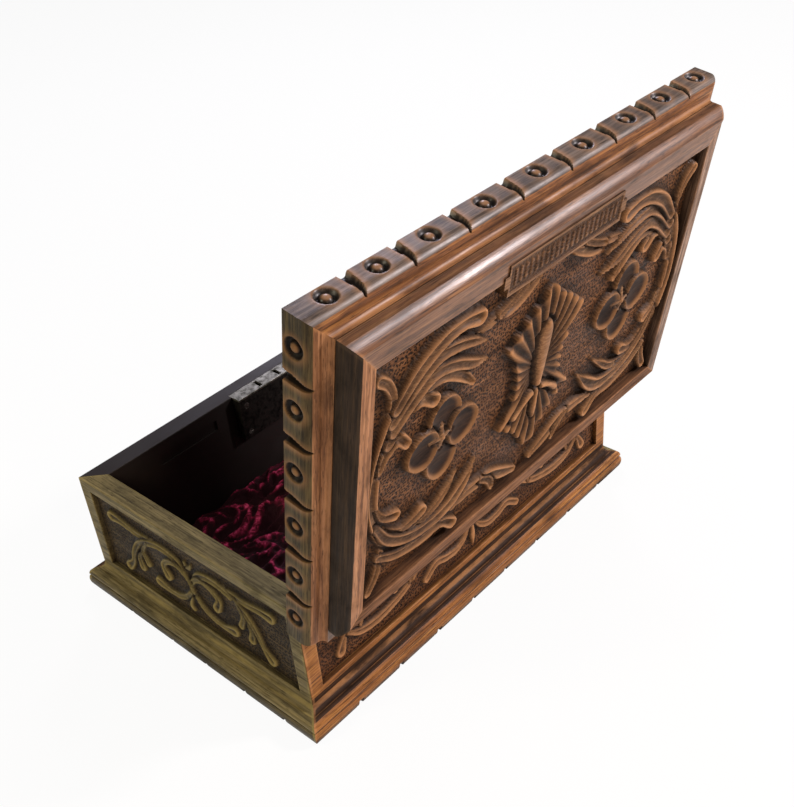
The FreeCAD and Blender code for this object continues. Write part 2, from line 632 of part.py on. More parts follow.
# The link plate under the lid has two staples, which drop through the slots of the lock
link_y = lock_middle - axis_y
link = block(-S["link_length"] / 2, S["link_length"] / 2, link_y - S["link_width"] / 2,
             link_y + S["link_width"] / 2, lid_low, lid_low + S["link_thickness"])
slab = slab.cut(link)
staple_x = S["slot_width"] / 2 - S["staple_gap"]
staple_y = S["slot_length"] / 2 - S["staple_gap"]
for x in slots:
    staple = block(x - staple_x, x + staple_x, link_y - staple_y, link_y + staple_y,
                   lid_low - S["staple_height"], lid_low)
    eye_z = eye_middle - rim
    staple = staple.cut(block(x - S["slot_width"], x + S["slot_width"],
                              link_y - S["staple_eye"] / 2, link_y + S["staple_eye"] / 2,
                              eye_z - S["staple_eye"] / 2, eye_z + S["staple_eye"] / 2))
    link = link.fuse(staple)
link_rows = [Placement(Vector(sign * (S["link_length"] / 2 - S["screw_head"] * 2), link_y, lid_low),
                       upside_down) for sign in (-1, 1)]
solid("link_plate", drilled(link.removeSplitter(), link_rows), open_lid)
screws("link_screws", [open_lid.multiply(row) for row in link_rows])
solid("lid_board", drilled(slab, link_rows).removeSplitter(), open_lid)


# A mitred frame stands on the lid round a sunk carved panel. Its front length is the widest
frame_bulge_share = 0.08


def frame_length(label, half, turn, place, width, start_run, end_run):
    """One length of the frame, mitred to neighbours whose widths are the two runs."""
    chamfer = S["frame_chamfer"]
    shoulder = slab_top + S["frame_fillet"]
    bulge = chamfer * frame_bulge_share
    profile = outline([
        (0, slab_top), (0, shoulder),
        (chamfer / 2 - bulge, shoulder + chamfer / 2 + bulge, chamfer, panel_top),
        (width, panel_top), (width, slab_top)])
    bar = profile.extrude(Vector(2 * half, 0, 0))
    bar.translate(Vector(-half, 0, 0))
    bar = bar.common(prism([(-half, 0), (half, 0), (half - end_run, width), (-half + start_run, width)],
                           slab_top, panel_top))
    local = Placement(place, Rotation(Vector(0, 0, 1), turn))
    return solid(label, bar, open_lid.multiply(local))


side_width, front_width = S["frame_width"], S["frame_front_width"]
frame_half_x = lid_half - inset
frame_half_y = lid_deep / 2 - inset
frame_length("lid_frame_front", frame_half_x, 0, Vector(0, inset - lid_deep, 0),
             front_width, side_width, side_width)
frame_length("lid_frame_back", frame_half_x, 180, Vector(0, -inset, 0),
             side_width, side_width, side_width)
frame_length("lid_frame_left", frame_half_y, 90, Vector(frame_half_x, -lid_deep / 2, 0),
             side_width, front_width, side_width)
frame_length("lid_frame_right", frame_half_y, -90, Vector(-frame_half_x, -lid_deep / 2, 0),
             side_width, side_width, front_width)

# The panel has a cross on a burst of rays, between two four-petalled flowers in scrolled leaves
panel_leaf_shares = (
    (((0.45, 0.92, 0.03), (0.67, 0.905, 0.026), (0.86, 0.767, 0.029), (0.95, 0.6, 0.028),
      (0.96, 0.42, 0.028), (0.88, 0.24, 0.028), (0.715, 0.142, 0.027), (0.55, 0.145, 0.024),
      (0.42, 0.21, 0.015)), 0.9),
    (((0.89, 0.71, 0.012), (0.67, 0.85, 0.023), (0.365, 0.786, 0.006)), 1),
    (((0.67, 0.798, 0.012), (0.584, 0.767, 0.019), (0.474, 0.673, 0.016)), 0.94),
    (((0.904, 0.636, 0.012), (0.83, 0.705, 0.019), (0.693, 0.711, 0.027)), 0.98),
    (((0.875, 0.236, 0.012), (0.68, 0.17, 0.021), (0.467, 0.286, 0.007)), 0.96),
    (((0.926, 0.4, 0.012), (0.897, 0.349, 0.019), (0.83, 0.324, 0.026)), 0.92),
    (((0.904, 0.161, 0.019), (0.68, 0.085, 0.025), (0.467, 0.045, 0.022)), 0.88),
    (((0.883, 0.26, 0.012), (0.897, 0.161, 0.019), (0.955, 0.03, 0.022)), 0.86),
    (((0.904, 0.723, 0.012), (0.883, 0.817, 0.019), (0.955, 0.923, 0.025)), 0.87),
    (((0.48, 0.124, 0.019), (0.248, 0.13, 0.029), (0.058, 0.049, 0.019)), 0.84),
    (((0.48, 0.836, 0.012), (0.248, 0.861, 0.025), (0.0875, 0.923, 0.012)), 0.83),
    (((0, 0.686, 0.02), (0, 0.63, 0.036), (0, 0.424, 0.0175), (0, 0.33, 0.021), (0, 0.274, 0.009)), 1.14),
    (((0.168, 0.386, 0.019), (0, 0.4, 0.016), (-0.168, 0.386, 0.019)), 1.1),
)
burst_shares = ((0, 0.864), (0.051, 0.798), (0.131, 0.7545), (0.248, 0.673), (0.182, 0.586),
                (0.153, 0.498), (0.16, 0.4235), (0.241, 0.33), (0.131, 0.261), (0.058, 0.186),
                (0, 0.102))
burst_level_share, petal_level_share, heart_level_share, cup_level_share = 0.7, 1.02, 0.6, 0.5
flower_x_share, flower_y_share, petal_step_share = 0.587, 0.508, 0.084
petal_share, cup_share, heart_share = 0.071, 0.055, 0.045


def flower(x, y, bed, field_deep):
    """Four cupped petals round a small heart."""
    relief = S["panel_relief"]
    petal_top = bed + relief * petal_level_share
    places = []
    for turn in (45, 135, 225, 315):
        step = petal_step_share * field_deep
        places.append(Placement(Vector(x + step * math.cos(math.radians(turn)),
                                       y + step * math.sin(math.radians(turn)), 0), Rotation()))
    petal = facet_cone(petal_share * field_deep, bed - relief / 2, petal_share * field_deep, petal_top)
    cup = facet_cone(heart_share * field_deep, bed + relief * cup_level_share,
                     cup_share * field_deep, petal_top)
    shape = moved(petal, places[0]).fuse([moved(petal, place) for place in places[1:]])
    shape = shape.cut([moved(cup, place) for place in places])
    heart = facet_cone(heart_share * field_deep, bed - relief / 2, heart_share * field_deep / 2,
                       bed + relief * heart_level_share)
    return shape.fuse(moved(heart, Placement(Vector(x, y, 0), Rotation())))


field_half_x = frame_half_x - side_width
field_foot, field_head = -inset - side_width, inset + front_width - lid_deep
field_deep = field_foot - field_head
bed = panel_top - S["panel_sink"]
panel = block(-field_half_x, field_half_x, field_head, field_foot, slab_top, bed)
half_burst = [(x * field_half_x, field_foot - y * field_deep) for x, y in burst_shares]
burst = prism(half_burst + [(-x, y) for x, y in half_burst[-2:0:-1]],
              bed - S["panel_relief"] / 2, bed + S["panel_relief"] * burst_level_share)
forms = carved_field(panel_leaf_shares, field_half_x, field_foot, -field_deep, bed, S["panel_relief"])
forms += [flower(sign * flower_x_share * field_half_x, field_foot - flower_y_share * field_deep,
                 bed, field_deep) for sign in (-1, 1)]
solid("lid_panel", panel.fuse([burst] + forms).removeSplitter(), open_lid)

# Four screws hold the lock case to the front board
lock_rows = [Placement(Vector(sign * (half_lock - S["lock_screw_inset"]), lock_front, rim - drop),
                       Rotation(Vector(1, 0, 0), -90))
             for sign in (-1, 1) for drop in (S["lock_screw_high"], S["lock_screw_low"])]
lock_reach = S["lock_thickness"] + S["lock_screw_bite"] - S["screw_shank"]
long_screw = wood_screw(S["screw_head"], S["screw_shank"], lock_reach)
long_sink = countersink(S["screw_head"], S["screw_shank"], lock_reach, S["screw_gap"])
for row in lock_rows:
    case = case.cut(moved(long_sink, row))
solid("lock_case", case)
solid("lock_screws", Part.makeCompound([moved(long_screw, row) for row in lock_rows]))
doc.recompute()

# Every object has to be sound before anything is written
for item in doc.Objects:
    if "Invalid" in item.State or "Error" in item.State:
        raise RuntimeError(item.Name + " failed")
os.makedirs("parts", exist_ok=True)
for node in finished:
    if node.Shape.isNull() or not node.Shape.isValid():
        raise RuntimeError(node.Label + " isn't a sound solid")
    node.Shape.exportStep("parts/%s.step" % node.Label)
print(len(finished), "parts written")
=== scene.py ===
import json
import math

import bmesh
import bpy
import numpy as np
from mathutils import Matrix, Vector, noise


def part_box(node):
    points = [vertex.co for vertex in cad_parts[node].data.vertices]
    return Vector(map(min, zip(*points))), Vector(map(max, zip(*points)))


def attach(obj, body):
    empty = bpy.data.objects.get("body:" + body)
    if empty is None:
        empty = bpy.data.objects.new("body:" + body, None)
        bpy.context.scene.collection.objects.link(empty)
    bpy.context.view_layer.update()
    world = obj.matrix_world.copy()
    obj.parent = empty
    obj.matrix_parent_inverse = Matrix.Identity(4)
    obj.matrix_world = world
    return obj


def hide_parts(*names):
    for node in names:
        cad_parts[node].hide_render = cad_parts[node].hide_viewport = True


bl_info = {
    "name": "Carved oak box",
    "version": (1, 0, 0),
    "blender": (4, 5, 0),
    "location": "View3D > Sidebar > Carved box",
    "description": "Builds the finish of a carved oak box around its packed frame",
    "category": "Object",
}

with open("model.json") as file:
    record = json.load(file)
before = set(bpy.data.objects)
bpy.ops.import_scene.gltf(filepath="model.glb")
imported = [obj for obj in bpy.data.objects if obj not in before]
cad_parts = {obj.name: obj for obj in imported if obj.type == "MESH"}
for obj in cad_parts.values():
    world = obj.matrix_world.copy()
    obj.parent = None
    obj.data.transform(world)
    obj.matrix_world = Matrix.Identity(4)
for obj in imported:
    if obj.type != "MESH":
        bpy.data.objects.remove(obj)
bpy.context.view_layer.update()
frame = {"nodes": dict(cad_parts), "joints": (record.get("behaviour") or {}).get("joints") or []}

# Millimetres are used for the carver's drawing and turned to metres at the end
MM = 0.001

# The lid hangs on one joint, and is drawn closed in its own frame: X along the hinge, Y towards
# the back and Z up from the rim. This matrix opens it
hinge = [joint for joint in frame["joints"] if joint["name"] == "lid_hinge"][0]
HINGE_Y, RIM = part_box("left_hinge_pin")[0].y + 1.1 * MM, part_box("front_board")[1].z
OPEN_ANGLE = math.radians(100.6)
OPEN_LID = Matrix.Translation((0, HINGE_Y, RIM)) @ Matrix.Rotation(-OPEN_ANGLE, 4, "X")

HALF_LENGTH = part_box("front_board")[1].x / MM
HALF_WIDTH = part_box("back_board")[1].y / MM
LID_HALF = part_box("lid_board")[1].x / MM
# A board's sunk field in millimetres: its depth, the width of its stiles and top rail, and the
# height of its foot on the long sides and on the ends
FIELD_SINK, STILE, TOP_RAIL = 3.5, 10, 7.5
FIELD_FOOT, END_FIELD_FOOT = 28.5, 24.5
WALL = 10
MERGE, TINY = 0.002 * MM, 0.001 * MM

# The closed lid in millimetres from the hinge pin and the rim: its depth and underside, the flat,
# round, fillet and hollow of its moulded edge, the slab, and the frame round the sunk panel
LID_DEEP, LID_LOW = 212, 0.4
EDGE_FLAT, EDGE_ROUND, EDGE_FILLET, EDGE_HOLLOW = 10.8, 5.8, 0.6, 3.8
EDGE_INSET = EDGE_ROUND + EDGE_FILLET + EDGE_HOLLOW
SLAB_TOP = EDGE_FLAT + EDGE_ROUND + EDGE_HOLLOW
PANEL_TOP = SLAB_TOP + 10.8
PANEL_SINK = 6.2
FRAME_WIDTH, FRAME_FRONT = 14, 17.5


class CarvedBoxSizes(bpy.types.PropertyGroup):
    """The sizes of the finish that a carver would choose"""

    cell: bpy.props.FloatProperty(
        name="Cell", description="Spacing of the points of a carved surface",
        default=0.69 * MM, unit="LENGTH")
    arris: bpy.props.FloatProperty(
        name="Arris", description="How far wear has rounded the corners of the wood",
        default=0.5 * MM, unit="LENGTH")
    roundel: bpy.props.FloatProperty(
        name="Roundel", description="Radius of a roundel on the edge of the lid",
        default=6.1 * MM, unit="LENGTH")
    button: bpy.props.FloatProperty(
        name="Button", description="Radius of the domed button in a roundel",
        default=3.0 * MM, unit="LENGTH")
    cut_width: bpy.props.FloatProperty(
        name="Gouge cut", description="Width of a gouge cut at the foot of the lid's edge",
        default=6.0 * MM, unit="LENGTH")
    cut_depth: bpy.props.FloatProperty(
        name="Gouge depth", description="Depth of a gouge cut",
        default=2.9 * MM, unit="LENGTH")


class CarvedBoxColours(bpy.types.PropertyGroup):
    """The colours of the finishes, as a user would pick them"""

    # Also the painted shade laid in hollows, on steep walls and in corners
    stain_and_shade: bpy.props.StringProperty(
        name="Stain", description="Dark stain left in the hollows, sRGB hex", default="#130c08")
    # Also the painted highlight laid on crests and arrises
    worn_and_highlit: bpy.props.StringProperty(
        name="Worn", description="Wood that handling has rubbed paler, sRGB hex", default="#a5784f")
    inside: bpy.props.StringProperty(
        name="Inside", description="Blackened wood of the inside and rim, sRGB hex", default="#1f1a18")
    velvet: bpy.props.StringProperty(
        name="Velvet", description="Pile of the crushed velvet, sRGB hex", default="#26040d")


def chosen():
    """The sizes that stand in the sidebar."""
    return bpy.context.scene.carved_box_sizes


def tint(hex_text):
    """An sRGB hex colour as linear RGBA."""
    channels = [int(hex_text[i:i + 2], 16) / 255 for i in (1, 3, 5)]
    linear = [c / 12.92 if c <= 0.04045 else ((c + 0.055) / 1.055) ** 2.4 for c in channels]
    return (*linear, 1.0)


def add(tree, kind, settings=None, out=0, **sockets):
    """Add a node with its settings, set or link its inputs by name or number, and return one of
    its outputs. Stops are the places and colours, or grey levels, of a colour ramp."""
    node = tree.nodes.new(kind)
    for key, value in (settings or {}).items():
        if key != "stops":
            setattr(node, key, value)
            continue
        points = node.color_ramp.elements
        points.remove(points[1])
        for number, (place, colour) in enumerate(value):
            point = points.new(place) if number else points[0]
            point.position = place
            point.color = tint(colour) if isinstance(colour, str) else (colour, colour, colour, 1)
    for key, value in sockets.items():
        socket = node.inputs[int(key[1:]) if key[1:].isdigit() else key.replace("_", " ")]
        if isinstance(value, bpy.types.NodeSocket):
            tree.links.new(value, socket)
        else:
            socket.default_value = value
    return node.outputs[out]


# Settings of the nodes that recur
RAMP = "ShaderNodeValToRGB"
NOISE = "ShaderNodeTexNoise"
MIX = "ShaderNodeMix"
MATHS = "ShaderNodeMath"
OVER = {"data_type": "RGBA", "blend_type": "MIX"}
DARKEN = {"data_type": "RGBA", "blend_type": "MULTIPLY"}
TIMES, PLUS = {"operation": "MULTIPLY"}, {"operation": "ADD"}


def material(name):
    """A new material, its node tree and its shader."""
    made = bpy.data.materials.new(name)
    made.use_nodes = True
    tree = made.node_tree
    return made, tree, tree.nodes["Principled BSDF"]


# What a carved surface stores at its points: bare ground, hollows and steep walls for stain with painted
# shade, crests for wear with a painted highlight, and darkened forms
CARVED_LAYERS = ("ground", "cavity", "ridge", "darkened")

# Sizes of the oak's figure in millimetres: how long a streak runs and how wide it is. The pores
# and the punched dots are drawn a little coarse, so that they show
STREAK = (48, 1.3)
BLOTCH = (30, 11)
PORE = (8, 0.5)
PUNCH = 1.9
# How far the painted shade with old wax reaches into corners, and how far wear with a painted highlight
# reaches round arrises, in millimetres
WAX_AND_SHADE_REACH, WEAR_AND_HIGHLIGHT_REACH = 11, 1.7
GROUND_TINT, DARKENED_TINT = "#d8c4b0", "#6a605c"
WAX_SPECULAR, WAX_ROUGH = 0.12, 0.3


def waxed_oak(name, turn, along, oak, worn_and_highlit, stain_and_shade, polish=0.42, carved=None, gleam=0.0):
    """Oak, dark with stain and waxed: streaks and pores run along the board, handling has paled the
    arrises, with a painted highlight on them too, and old wax with painted shade lies dark in the
    corners and between parts. On a carved piece the hollows and steep walls take the stain with
    painted shade, and the crests wear with a painted highlight. A carved ground is matted with a
    punch, and its turn brings the pattern flat onto it."""
    made, tree, shader = material(name)
    place = add(tree, "ShaderNodeTexCoord", out="Object")

    spreads = []
    for run, width in (STREAK, BLOTCH, PORE):
        scale = [width * MM] * 3
        scale["XYZ".index(along)] = run * MM
        spreads.append(add(tree, "ShaderNodeMapping", {"vector_type": "TEXTURE"}, Vector=place,
                           Rotation=turn, Scale=scale))
    streaks = add(tree, NOISE, Vector=spreads[0], Scale=1.0, Detail=5.0, Roughness=0.65, Distortion=0.5)
    blotches = add(tree, NOISE, Vector=spreads[1], Scale=1.0, Detail=5.0, Roughness=0.62, Distortion=0.4)
    pores = add(tree, NOISE, Vector=spreads[2], Scale=1.0, Detail=2.0, Roughness=0.5)
    colour = add(tree, RAMP, {"stops": [(0.32, oak[0]), (0.5, oak[1]), (0.7, oak[2])]}, i0=streaks)
    shade = add(tree, RAMP, {"stops": [(0.33, 0.5), (0.46, 0.86), (0.6, 1.0)]}, i0=blotches)
    colour = add(tree, MIX, DARKEN, 2, i0=1.0, i6=colour, i7=shade)
    dots = add(tree, RAMP, {"stops": [(0.34, 0.6), (0.42, 0.0)]}, i0=pores)
    colour = add(tree, MIX, OVER, 2, i0=dots, i6=colour, i7=tint(stain_and_shade))
    height = add(tree, MATHS, TIMES, i0=pores, i1=0.35)
    if carved is not None:
        ground, cavity, ridge, darkened = [
            add(tree, "ShaderNodeAttribute", {"attribute_name": layer}, "Fac") for layer in CARVED_LAYERS]
        flat = add(tree, "ShaderNodeMapping", {"vector_type": "TEXTURE"}, Vector=place, Rotation=carved)
        punch = add(tree, "ShaderNodeTexVoronoi", {"voronoi_dimensions": "2D"}, Vector=flat,
                    Scale=1 / (PUNCH * MM), Randomness=0.9)
        pits = add(tree, RAMP, {"stops": [(0.22, 0.06), (0.42, 1.0)]}, i0=punch)
        colour = add(tree, MIX, DARKEN, 2, i0=ground, i6=colour, i7=pits)
        colour = add(tree, MIX, DARKEN, 2, i0=ground, i6=colour, i7=tint(GROUND_TINT))
        # Hollows and steep walls take the stain colour with painted shade, and crests the worn colour as
        # wear with a painted highlight
        colour = add(tree, MIX, OVER, 2, i0=cavity, i6=colour, i7=tint(stain_and_shade))
        # The burst and the petals inside their rims are darker
        colour = add(tree, MIX, DARKEN, 2, i0=darkened, i6=colour, i7=tint(DARKENED_TINT))
        crest = add(tree, MATHS, TIMES, i0=ridge, i1=0.7)
        colour = add(tree, MIX, OVER, 2, i0=crest, i6=colour, i7=tint(worn_and_highlit))
        dimples = add(tree, MATHS, TIMES, i0=pits, i1=ground)
        height = add(tree, MATHS, PLUS, i0=height, i1=add(tree, MATHS, TIMES, i0=dimples, i1=2.0))
    else:
        # Arrises paled by wear and by a painted highlight, found by ambient occlusion inside the piece
        proud = add(tree, "ShaderNodeAmbientOcclusion",
                    {"samples": 8, "inside": True, "only_local": True}, "AO", Distance=WEAR_AND_HIGHLIGHT_REACH * MM)
        worn_and_lit_edges = add(tree, RAMP, {"stops": [(0.55, 1.0), (0.9, 0.0)]}, i0=proud)
        patchy = add(tree, RAMP, {"stops": [(0.38, 0.05), (0.62, 0.65)]}, i0=blotches)
        worn_and_lit_edges = add(tree, MATHS, TIMES, i0=worn_and_lit_edges, i1=patchy)
        colour = add(tree, MIX, OVER, 2, i0=worn_and_lit_edges, i6=colour, i7=tint(worn_and_highlit))
    # Painted shade with old wax: ambient occlusion darkens corners, hollows and the joints between parts
    # towards the stain colour
    deep = add(tree, "ShaderNodeAmbientOcclusion", {"samples": 8}, "AO", Distance=WAX_AND_SHADE_REACH * MM)
    wax_and_shade = add(tree, RAMP, {"stops": [(0.35, 0.95), (0.9, 0.0)]}, i0=deep)
    colour = add(tree, MIX, OVER, 2, i0=wax_and_shade, i6=colour, i7=tint(stain_and_shade))
    rough = add(tree, RAMP, {"stops": [(0.35, polish + 0.18), (0.62, polish)]}, i0=blotches)
    normal = add(tree, "ShaderNodeBump", Strength=0.6, Distance=0.3 * MM, Height=height)
    for socket, value in (("Base Color", colour), ("Roughness", rough), ("Normal", normal)):
        tree.links.new(value, shader.inputs[socket])
    shader.inputs["IOR"].default_value = 1.5
    shader.inputs["Specular IOR Level"].default_value = WAX_SPECULAR + gleam
    shader.inputs["Coat Weight"].default_value = gleam
    shader.inputs["Coat Roughness"].default_value = WAX_ROUGH
    return made


def ebonised(name, base):
    """Oak blackened by age and handling: nearly black, with a dull waxed sheen and long pores."""
    made, tree, shader = material(name)
    place = add(tree, "ShaderNodeTexCoord", out="Object")
    spread = add(tree, "ShaderNodeMapping", {"vector_type": "TEXTURE"}, Vector=place,
                 Scale=(40 * MM, 2 * MM, 2 * MM))
    grain = add(tree, NOISE, Vector=spread, Scale=1.0, Detail=5.0, Roughness=0.65)
    wear = add(tree, NOISE, Vector=place, Scale=1 / (25 * MM), Detail=4.0)
    share = add(tree, RAMP, {"stops": [(0.45, 0.0), (0.8, 0.5)]}, i0=grain)
    colour = add(tree, MIX, OVER, 2, i0=share, i6=tint(base), i7=tint("#241b15"))
    rough = add(tree, RAMP, {"stops": [(0.35, 0.6), (0.7, 0.42)]}, i0=wear)
    normal = add(tree, "ShaderNodeBump", Strength=0.5, Distance=0.2 * MM, Height=grain)
    for socket, value in (("Base Color", colour), ("Roughness", rough), ("Normal", normal)):
        tree.links.new(value, shader.inputs[socket])
    shader.inputs["Specular IOR Level"].default_value = 0.35
    return made


def old_metal(name, base, tarnish, roughness, spot=4.0):
    """Metal dulled by age: brighter where it is rubbed, with darker tarnish in patches."""
    made, tree, shader = material(name)
    place = add(tree, "ShaderNodeTexCoord", out="Object")
    spots = add(tree, NOISE, Vector=place, Scale=1 / (spot * MM), Detail=6.0, Roughness=0.65)
    scratches = add(tree, NOISE, Vector=place, Scale=1 / (0.6 * MM), Detail=2.0)
    share = add(tree, RAMP, {"stops": [(0.38, 1.0), (0.6, 0.0)]}, i0=spots)
    colour = add(tree, MIX, OVER, 2, i0=share, i6=tint(base), i7=tint(tarnish))
    rough = add(tree, RAMP, {"stops": [(0.3, roughness + 0.25), (0.7, roughness)]}, i0=spots)
    normal = add(tree, "ShaderNodeBump", Strength=0.25, Distance=0.1 * MM, Height=scratches)
    for socket, value in (("Base Color", colour), ("Roughness", rough), ("Normal", normal)):
        tree.links.new(value, shader.inputs[socket])
    shader.inputs["Metallic"].default_value = 0.9
    return made


def crushed_velvet(name, pile):
    """Silk velvet, crushed: a dark pile with a painted highlight along its ridges."""
    made, tree, shader = material(name)
    place = add(tree, "ShaderNodeTexCoord", out="Object")
    ridge = add(tree, "ShaderNodeAttribute", {"attribute_name": "ridge"}, "Fac")
    crush = add(tree, NOISE, Vector=place, Scale=1 / (6 * MM), Detail=6.0, Roughness=0.7, Distortion=1.6)
    nap = add(tree, NOISE, Vector=place, Scale=1 / (0.8 * MM), Detail=2.0)
    # Painted highlight: the crests of the rucks take a bright crimson, and a pink at their tops
    crest = add(tree, RAMP, {"stops": [(0.3, 0.0), (0.85, 1.0)]}, i0=ridge)
    broken = add(tree, RAMP, {"stops": [(0.4, 0.1), (0.6, 1.0)]}, i0=crush)
    share = add(tree, MATHS, TIMES, i0=crest, i1=broken)
    colour = add(tree, MIX, OVER, 2, i0=share, i6=tint(pile), i7=tint("#9c1240"))
    bright = add(tree, MATHS, {"operation": "POWER"}, i0=share, i1=2.5)
    colour = add(tree, MIX, OVER, 2, i0=bright, i6=colour, i7=tint("#e8507f"))
    height = add(tree, MATHS, PLUS, i0=crush, i1=add(tree, MATHS, TIMES, i0=nap, i1=0.3))
    normal = add(tree, "ShaderNodeBump", Strength=0.9, Distance=1.4 * MM, Height=height)
    for socket, value in (("Base Color", colour), ("Normal", normal)):
        tree.links.new(value, shader.inputs[socket])
    shader.inputs["Roughness"].default_value = 0.8
    shader.inputs["Specular IOR Level"].default_value = 0.2
    shader.inputs["Sheen Weight"].default_value = 0.2
    shader.inputs["Sheen Roughness"].default_value = 0.3
    shader.inputs["Sheen Tint"].default_value = tint("#c23a66")
    return made


FINISHES = {}

# The turns that lay a pattern flat on the open lid, on the long sides and on the ends
LID_TURN = (-OPEN_ANGLE, 0, 0)
LONG_TURN, END_TURN = (math.pi / 2, 0, 0), (math.pi / 2, 0, math.pi / 2)

# Oak as age and handling have left it on each part, with painted light: some palettes are lit, shaded and
# sheened copies of the one oak. Each gives its dark, middle and pale streaks
CASE_OAK = ("#4f3320", "#84572f", "#ab7c44")
# Painted light on the ends, their carved fields and their plinths: olive in the colour of the light there,
# and darker for the shade
END_OAK = ("#3f3926", "#6c6242", "#8c8059")
CASE_FIELD = ("#463020", "#664830", "#866444")
END_FIELD = ("#30291c", "#4f462e", "#746948")
# Painted shade on the lower round of the end plinths
FOOT_SHADE_OAK = ("#2c2719", "#50472d", "#736745")
LID_OAK = ("#3f2a1c", "#64452f", "#866344")
PANEL_OAK = ("#4a3424", "#6f523a", "#957452")
# Paler: painted light on the rounds of the lid's side edges; the left member of the lid's frame takes it
# too
SIDE_OAK = ("#5c3d29", "#875f40", "#a97f5c")
# Greyed and paler: a painted sheen on the right member of the lid's frame
RIGHT_SHEEN_OAK = ("#4a382c", "#77604f", "#9c8473")
# Orange: painted light on the round of the lid's front edge, where it turns towards the light
ROUND_LIT_OAK = ("#432c1c", "#744b2b", "#9b6e3e")
BACK_OAK = ("#432b1c", "#6b4a31", "#8a6445")
# Greyed: a painted sheen on the up-facing flat of the lid's front edge
EDGE_SHEEN_OAK = ("#332b25", "#554940", "#72665c")
SHADE_OAK = ("#262014", "#443a24", "#615434")
# Painted shadow in the cove of the long plinths and on the foot of the long boards
COVE_SHADOW_OAK = ("#1d130c", "#332216", "#4b3523")
# Painted shadow on the outer faces of the lid frame's left member
FRAME_SHADOW_OAK = ("#1a130c", "#2b2117", "#403222")
# The worn colours of the ends and of the shadowed face, which serve as a painted highlight too
END_WORN_AND_HIGHLIT, DARK_WORN_AND_HIGHLIT = "#93844f", "#4a3c2e"


def finish_of(key):
    """Each finish is made once, when the first piece asks for it."""
    if key in FINISHES:
        return FINISHES[key]
    colours = bpy.context.scene.carved_box_colours
    plain = (0, 0, 0)
    worn_and_highlit, stain_and_shade = colours.worn_and_highlit, colours.stain_and_shade
    makers = {
        "case_x": lambda: waxed_oak("case_oak_lengthwise", plain, "X", CASE_OAK, worn_and_highlit, stain_and_shade),
        "case_shadow": lambda: waxed_oak("case_oak_shadowed", plain, "X", COVE_SHADOW_OAK, worn_and_highlit, stain_and_shade, 0.5),
        "case_foot_shade": lambda: waxed_oak("case_oak_foot_shaded", plain, "Y", FOOT_SHADE_OAK, END_WORN_AND_HIGHLIT, stain_and_shade),
        "case_y": lambda: waxed_oak("case_oak_crosswise", plain, "Y", END_OAK, END_WORN_AND_HIGHLIT, stain_and_shade),
        "case_carved_x": lambda: waxed_oak("case_oak_carved_lengthwise", plain, "X", CASE_FIELD,
                                           worn_and_highlit, stain_and_shade, 0.5, LONG_TURN),
        "case_carved_y": lambda: waxed_oak("case_oak_carved_crosswise", plain, "Y", END_FIELD,
                                           END_WORN_AND_HIGHLIT, stain_and_shade, 0.5, END_TURN),
        "lid_x": lambda: waxed_oak("lid_oak_lengthwise", LID_TURN, "X", LID_OAK, worn_and_highlit, stain_and_shade, 0.3,
                                   gleam=0.15),
        "lid_y": lambda: waxed_oak("lid_oak_crosswise", LID_TURN, "Y", SIDE_OAK, worn_and_highlit, stain_and_shade, 0.38),
        "lid_round_x": lambda: waxed_oak("lid_round_lengthwise", LID_TURN, "X", ROUND_LIT_OAK, worn_and_highlit, stain_and_shade,
                                         0.36, gleam=0.05),
        "lid_low": lambda: waxed_oak("lid_oak_lengthwise_dull", LID_TURN, "X", BACK_OAK, worn_and_highlit, stain_and_shade,
                                     0.55),
        "lid_shade": lambda: waxed_oak("lid_oak_crosswise_shadowed", LID_TURN, "Y", FRAME_SHADOW_OAK, DARK_WORN_AND_HIGHLIT,
                                       stain_and_shade, 0.5),
        "lid_sheen": lambda: waxed_oak("lid_oak_crosswise_sheen", LID_TURN, "Y", RIGHT_SHEEN_OAK, worn_and_highlit,
                                      stain_and_shade, 0.4),
        "lid_carved": lambda: waxed_oak("lid_oak_carved", LID_TURN, "X", PANEL_OAK, worn_and_highlit, stain_and_shade, 0.46,
                                        LID_TURN),
        "lid_edge_x": lambda: waxed_oak("lid_edge_lengthwise", LID_TURN, "X", EDGE_SHEEN_OAK, worn_and_highlit, stain_and_shade,
                                        0.34, LID_TURN, 0.12),
        "lid_edge_y": lambda: waxed_oak("lid_edge_crosswise", LID_TURN, "Y", SHADE_OAK, worn_and_highlit, stain_and_shade,
                                        0.42, LID_TURN),
        "inside": lambda: ebonised("ebonised_oak", colours.inside),
        "lock": lambda: old_metal("aged_iron_plate", "#8c8a80", "#4b4a42", 0.38),
        "lock_dark": lambda: old_metal("blackened_iron", "#3a3733", "#151311", 0.5),
        "brass": lambda: old_metal("dull_brass", "#a8823f", "#4d3a1c", 0.34),
        "steel": lambda: old_metal("worn_steel_screw", "#85827c", "#3b3833", 0.36, 1.5),
        "velvet": lambda: crushed_velvet("crushed_velvet", colours.velvet),
    }
    FINISHES[key] = makers[key]()
    return FINISHES[key]


def finished_piece(name, bm, keys, body, replaced=(), turn=None):
    """Turn a bmesh into a piece that rides on a body and wears one or more finishes."""
    mesh = bpy.data.meshes.new(name)
    bm.to_mesh(mesh)
    bm.free()
    if turn is not None:
        mesh.transform(turn)
    piece = bpy.data.objects.new(name, mesh)
    bpy.context.scene.collection.objects.link(piece)
    for key in keys:
        mesh.materials.append(finish_of(key))
    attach(piece, body)
    if replaced:
        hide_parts(*replaced)
    return piece


def soften(bm, angle=math.radians(22)):
    """Smooth shading with the real corners kept sharp."""
    for face in bm.faces:
        face.smooth = True
    for edge in bm.edges:
        edge.smooth = len(edge.link_faces) == 2 and edge.calc_face_angle(0) < angle


def two_tone(bm, picked):
    """Give the faces that a test picks the second finish."""
    for face in bm.faces:
        face.material_index = 1 if picked(face) else 0


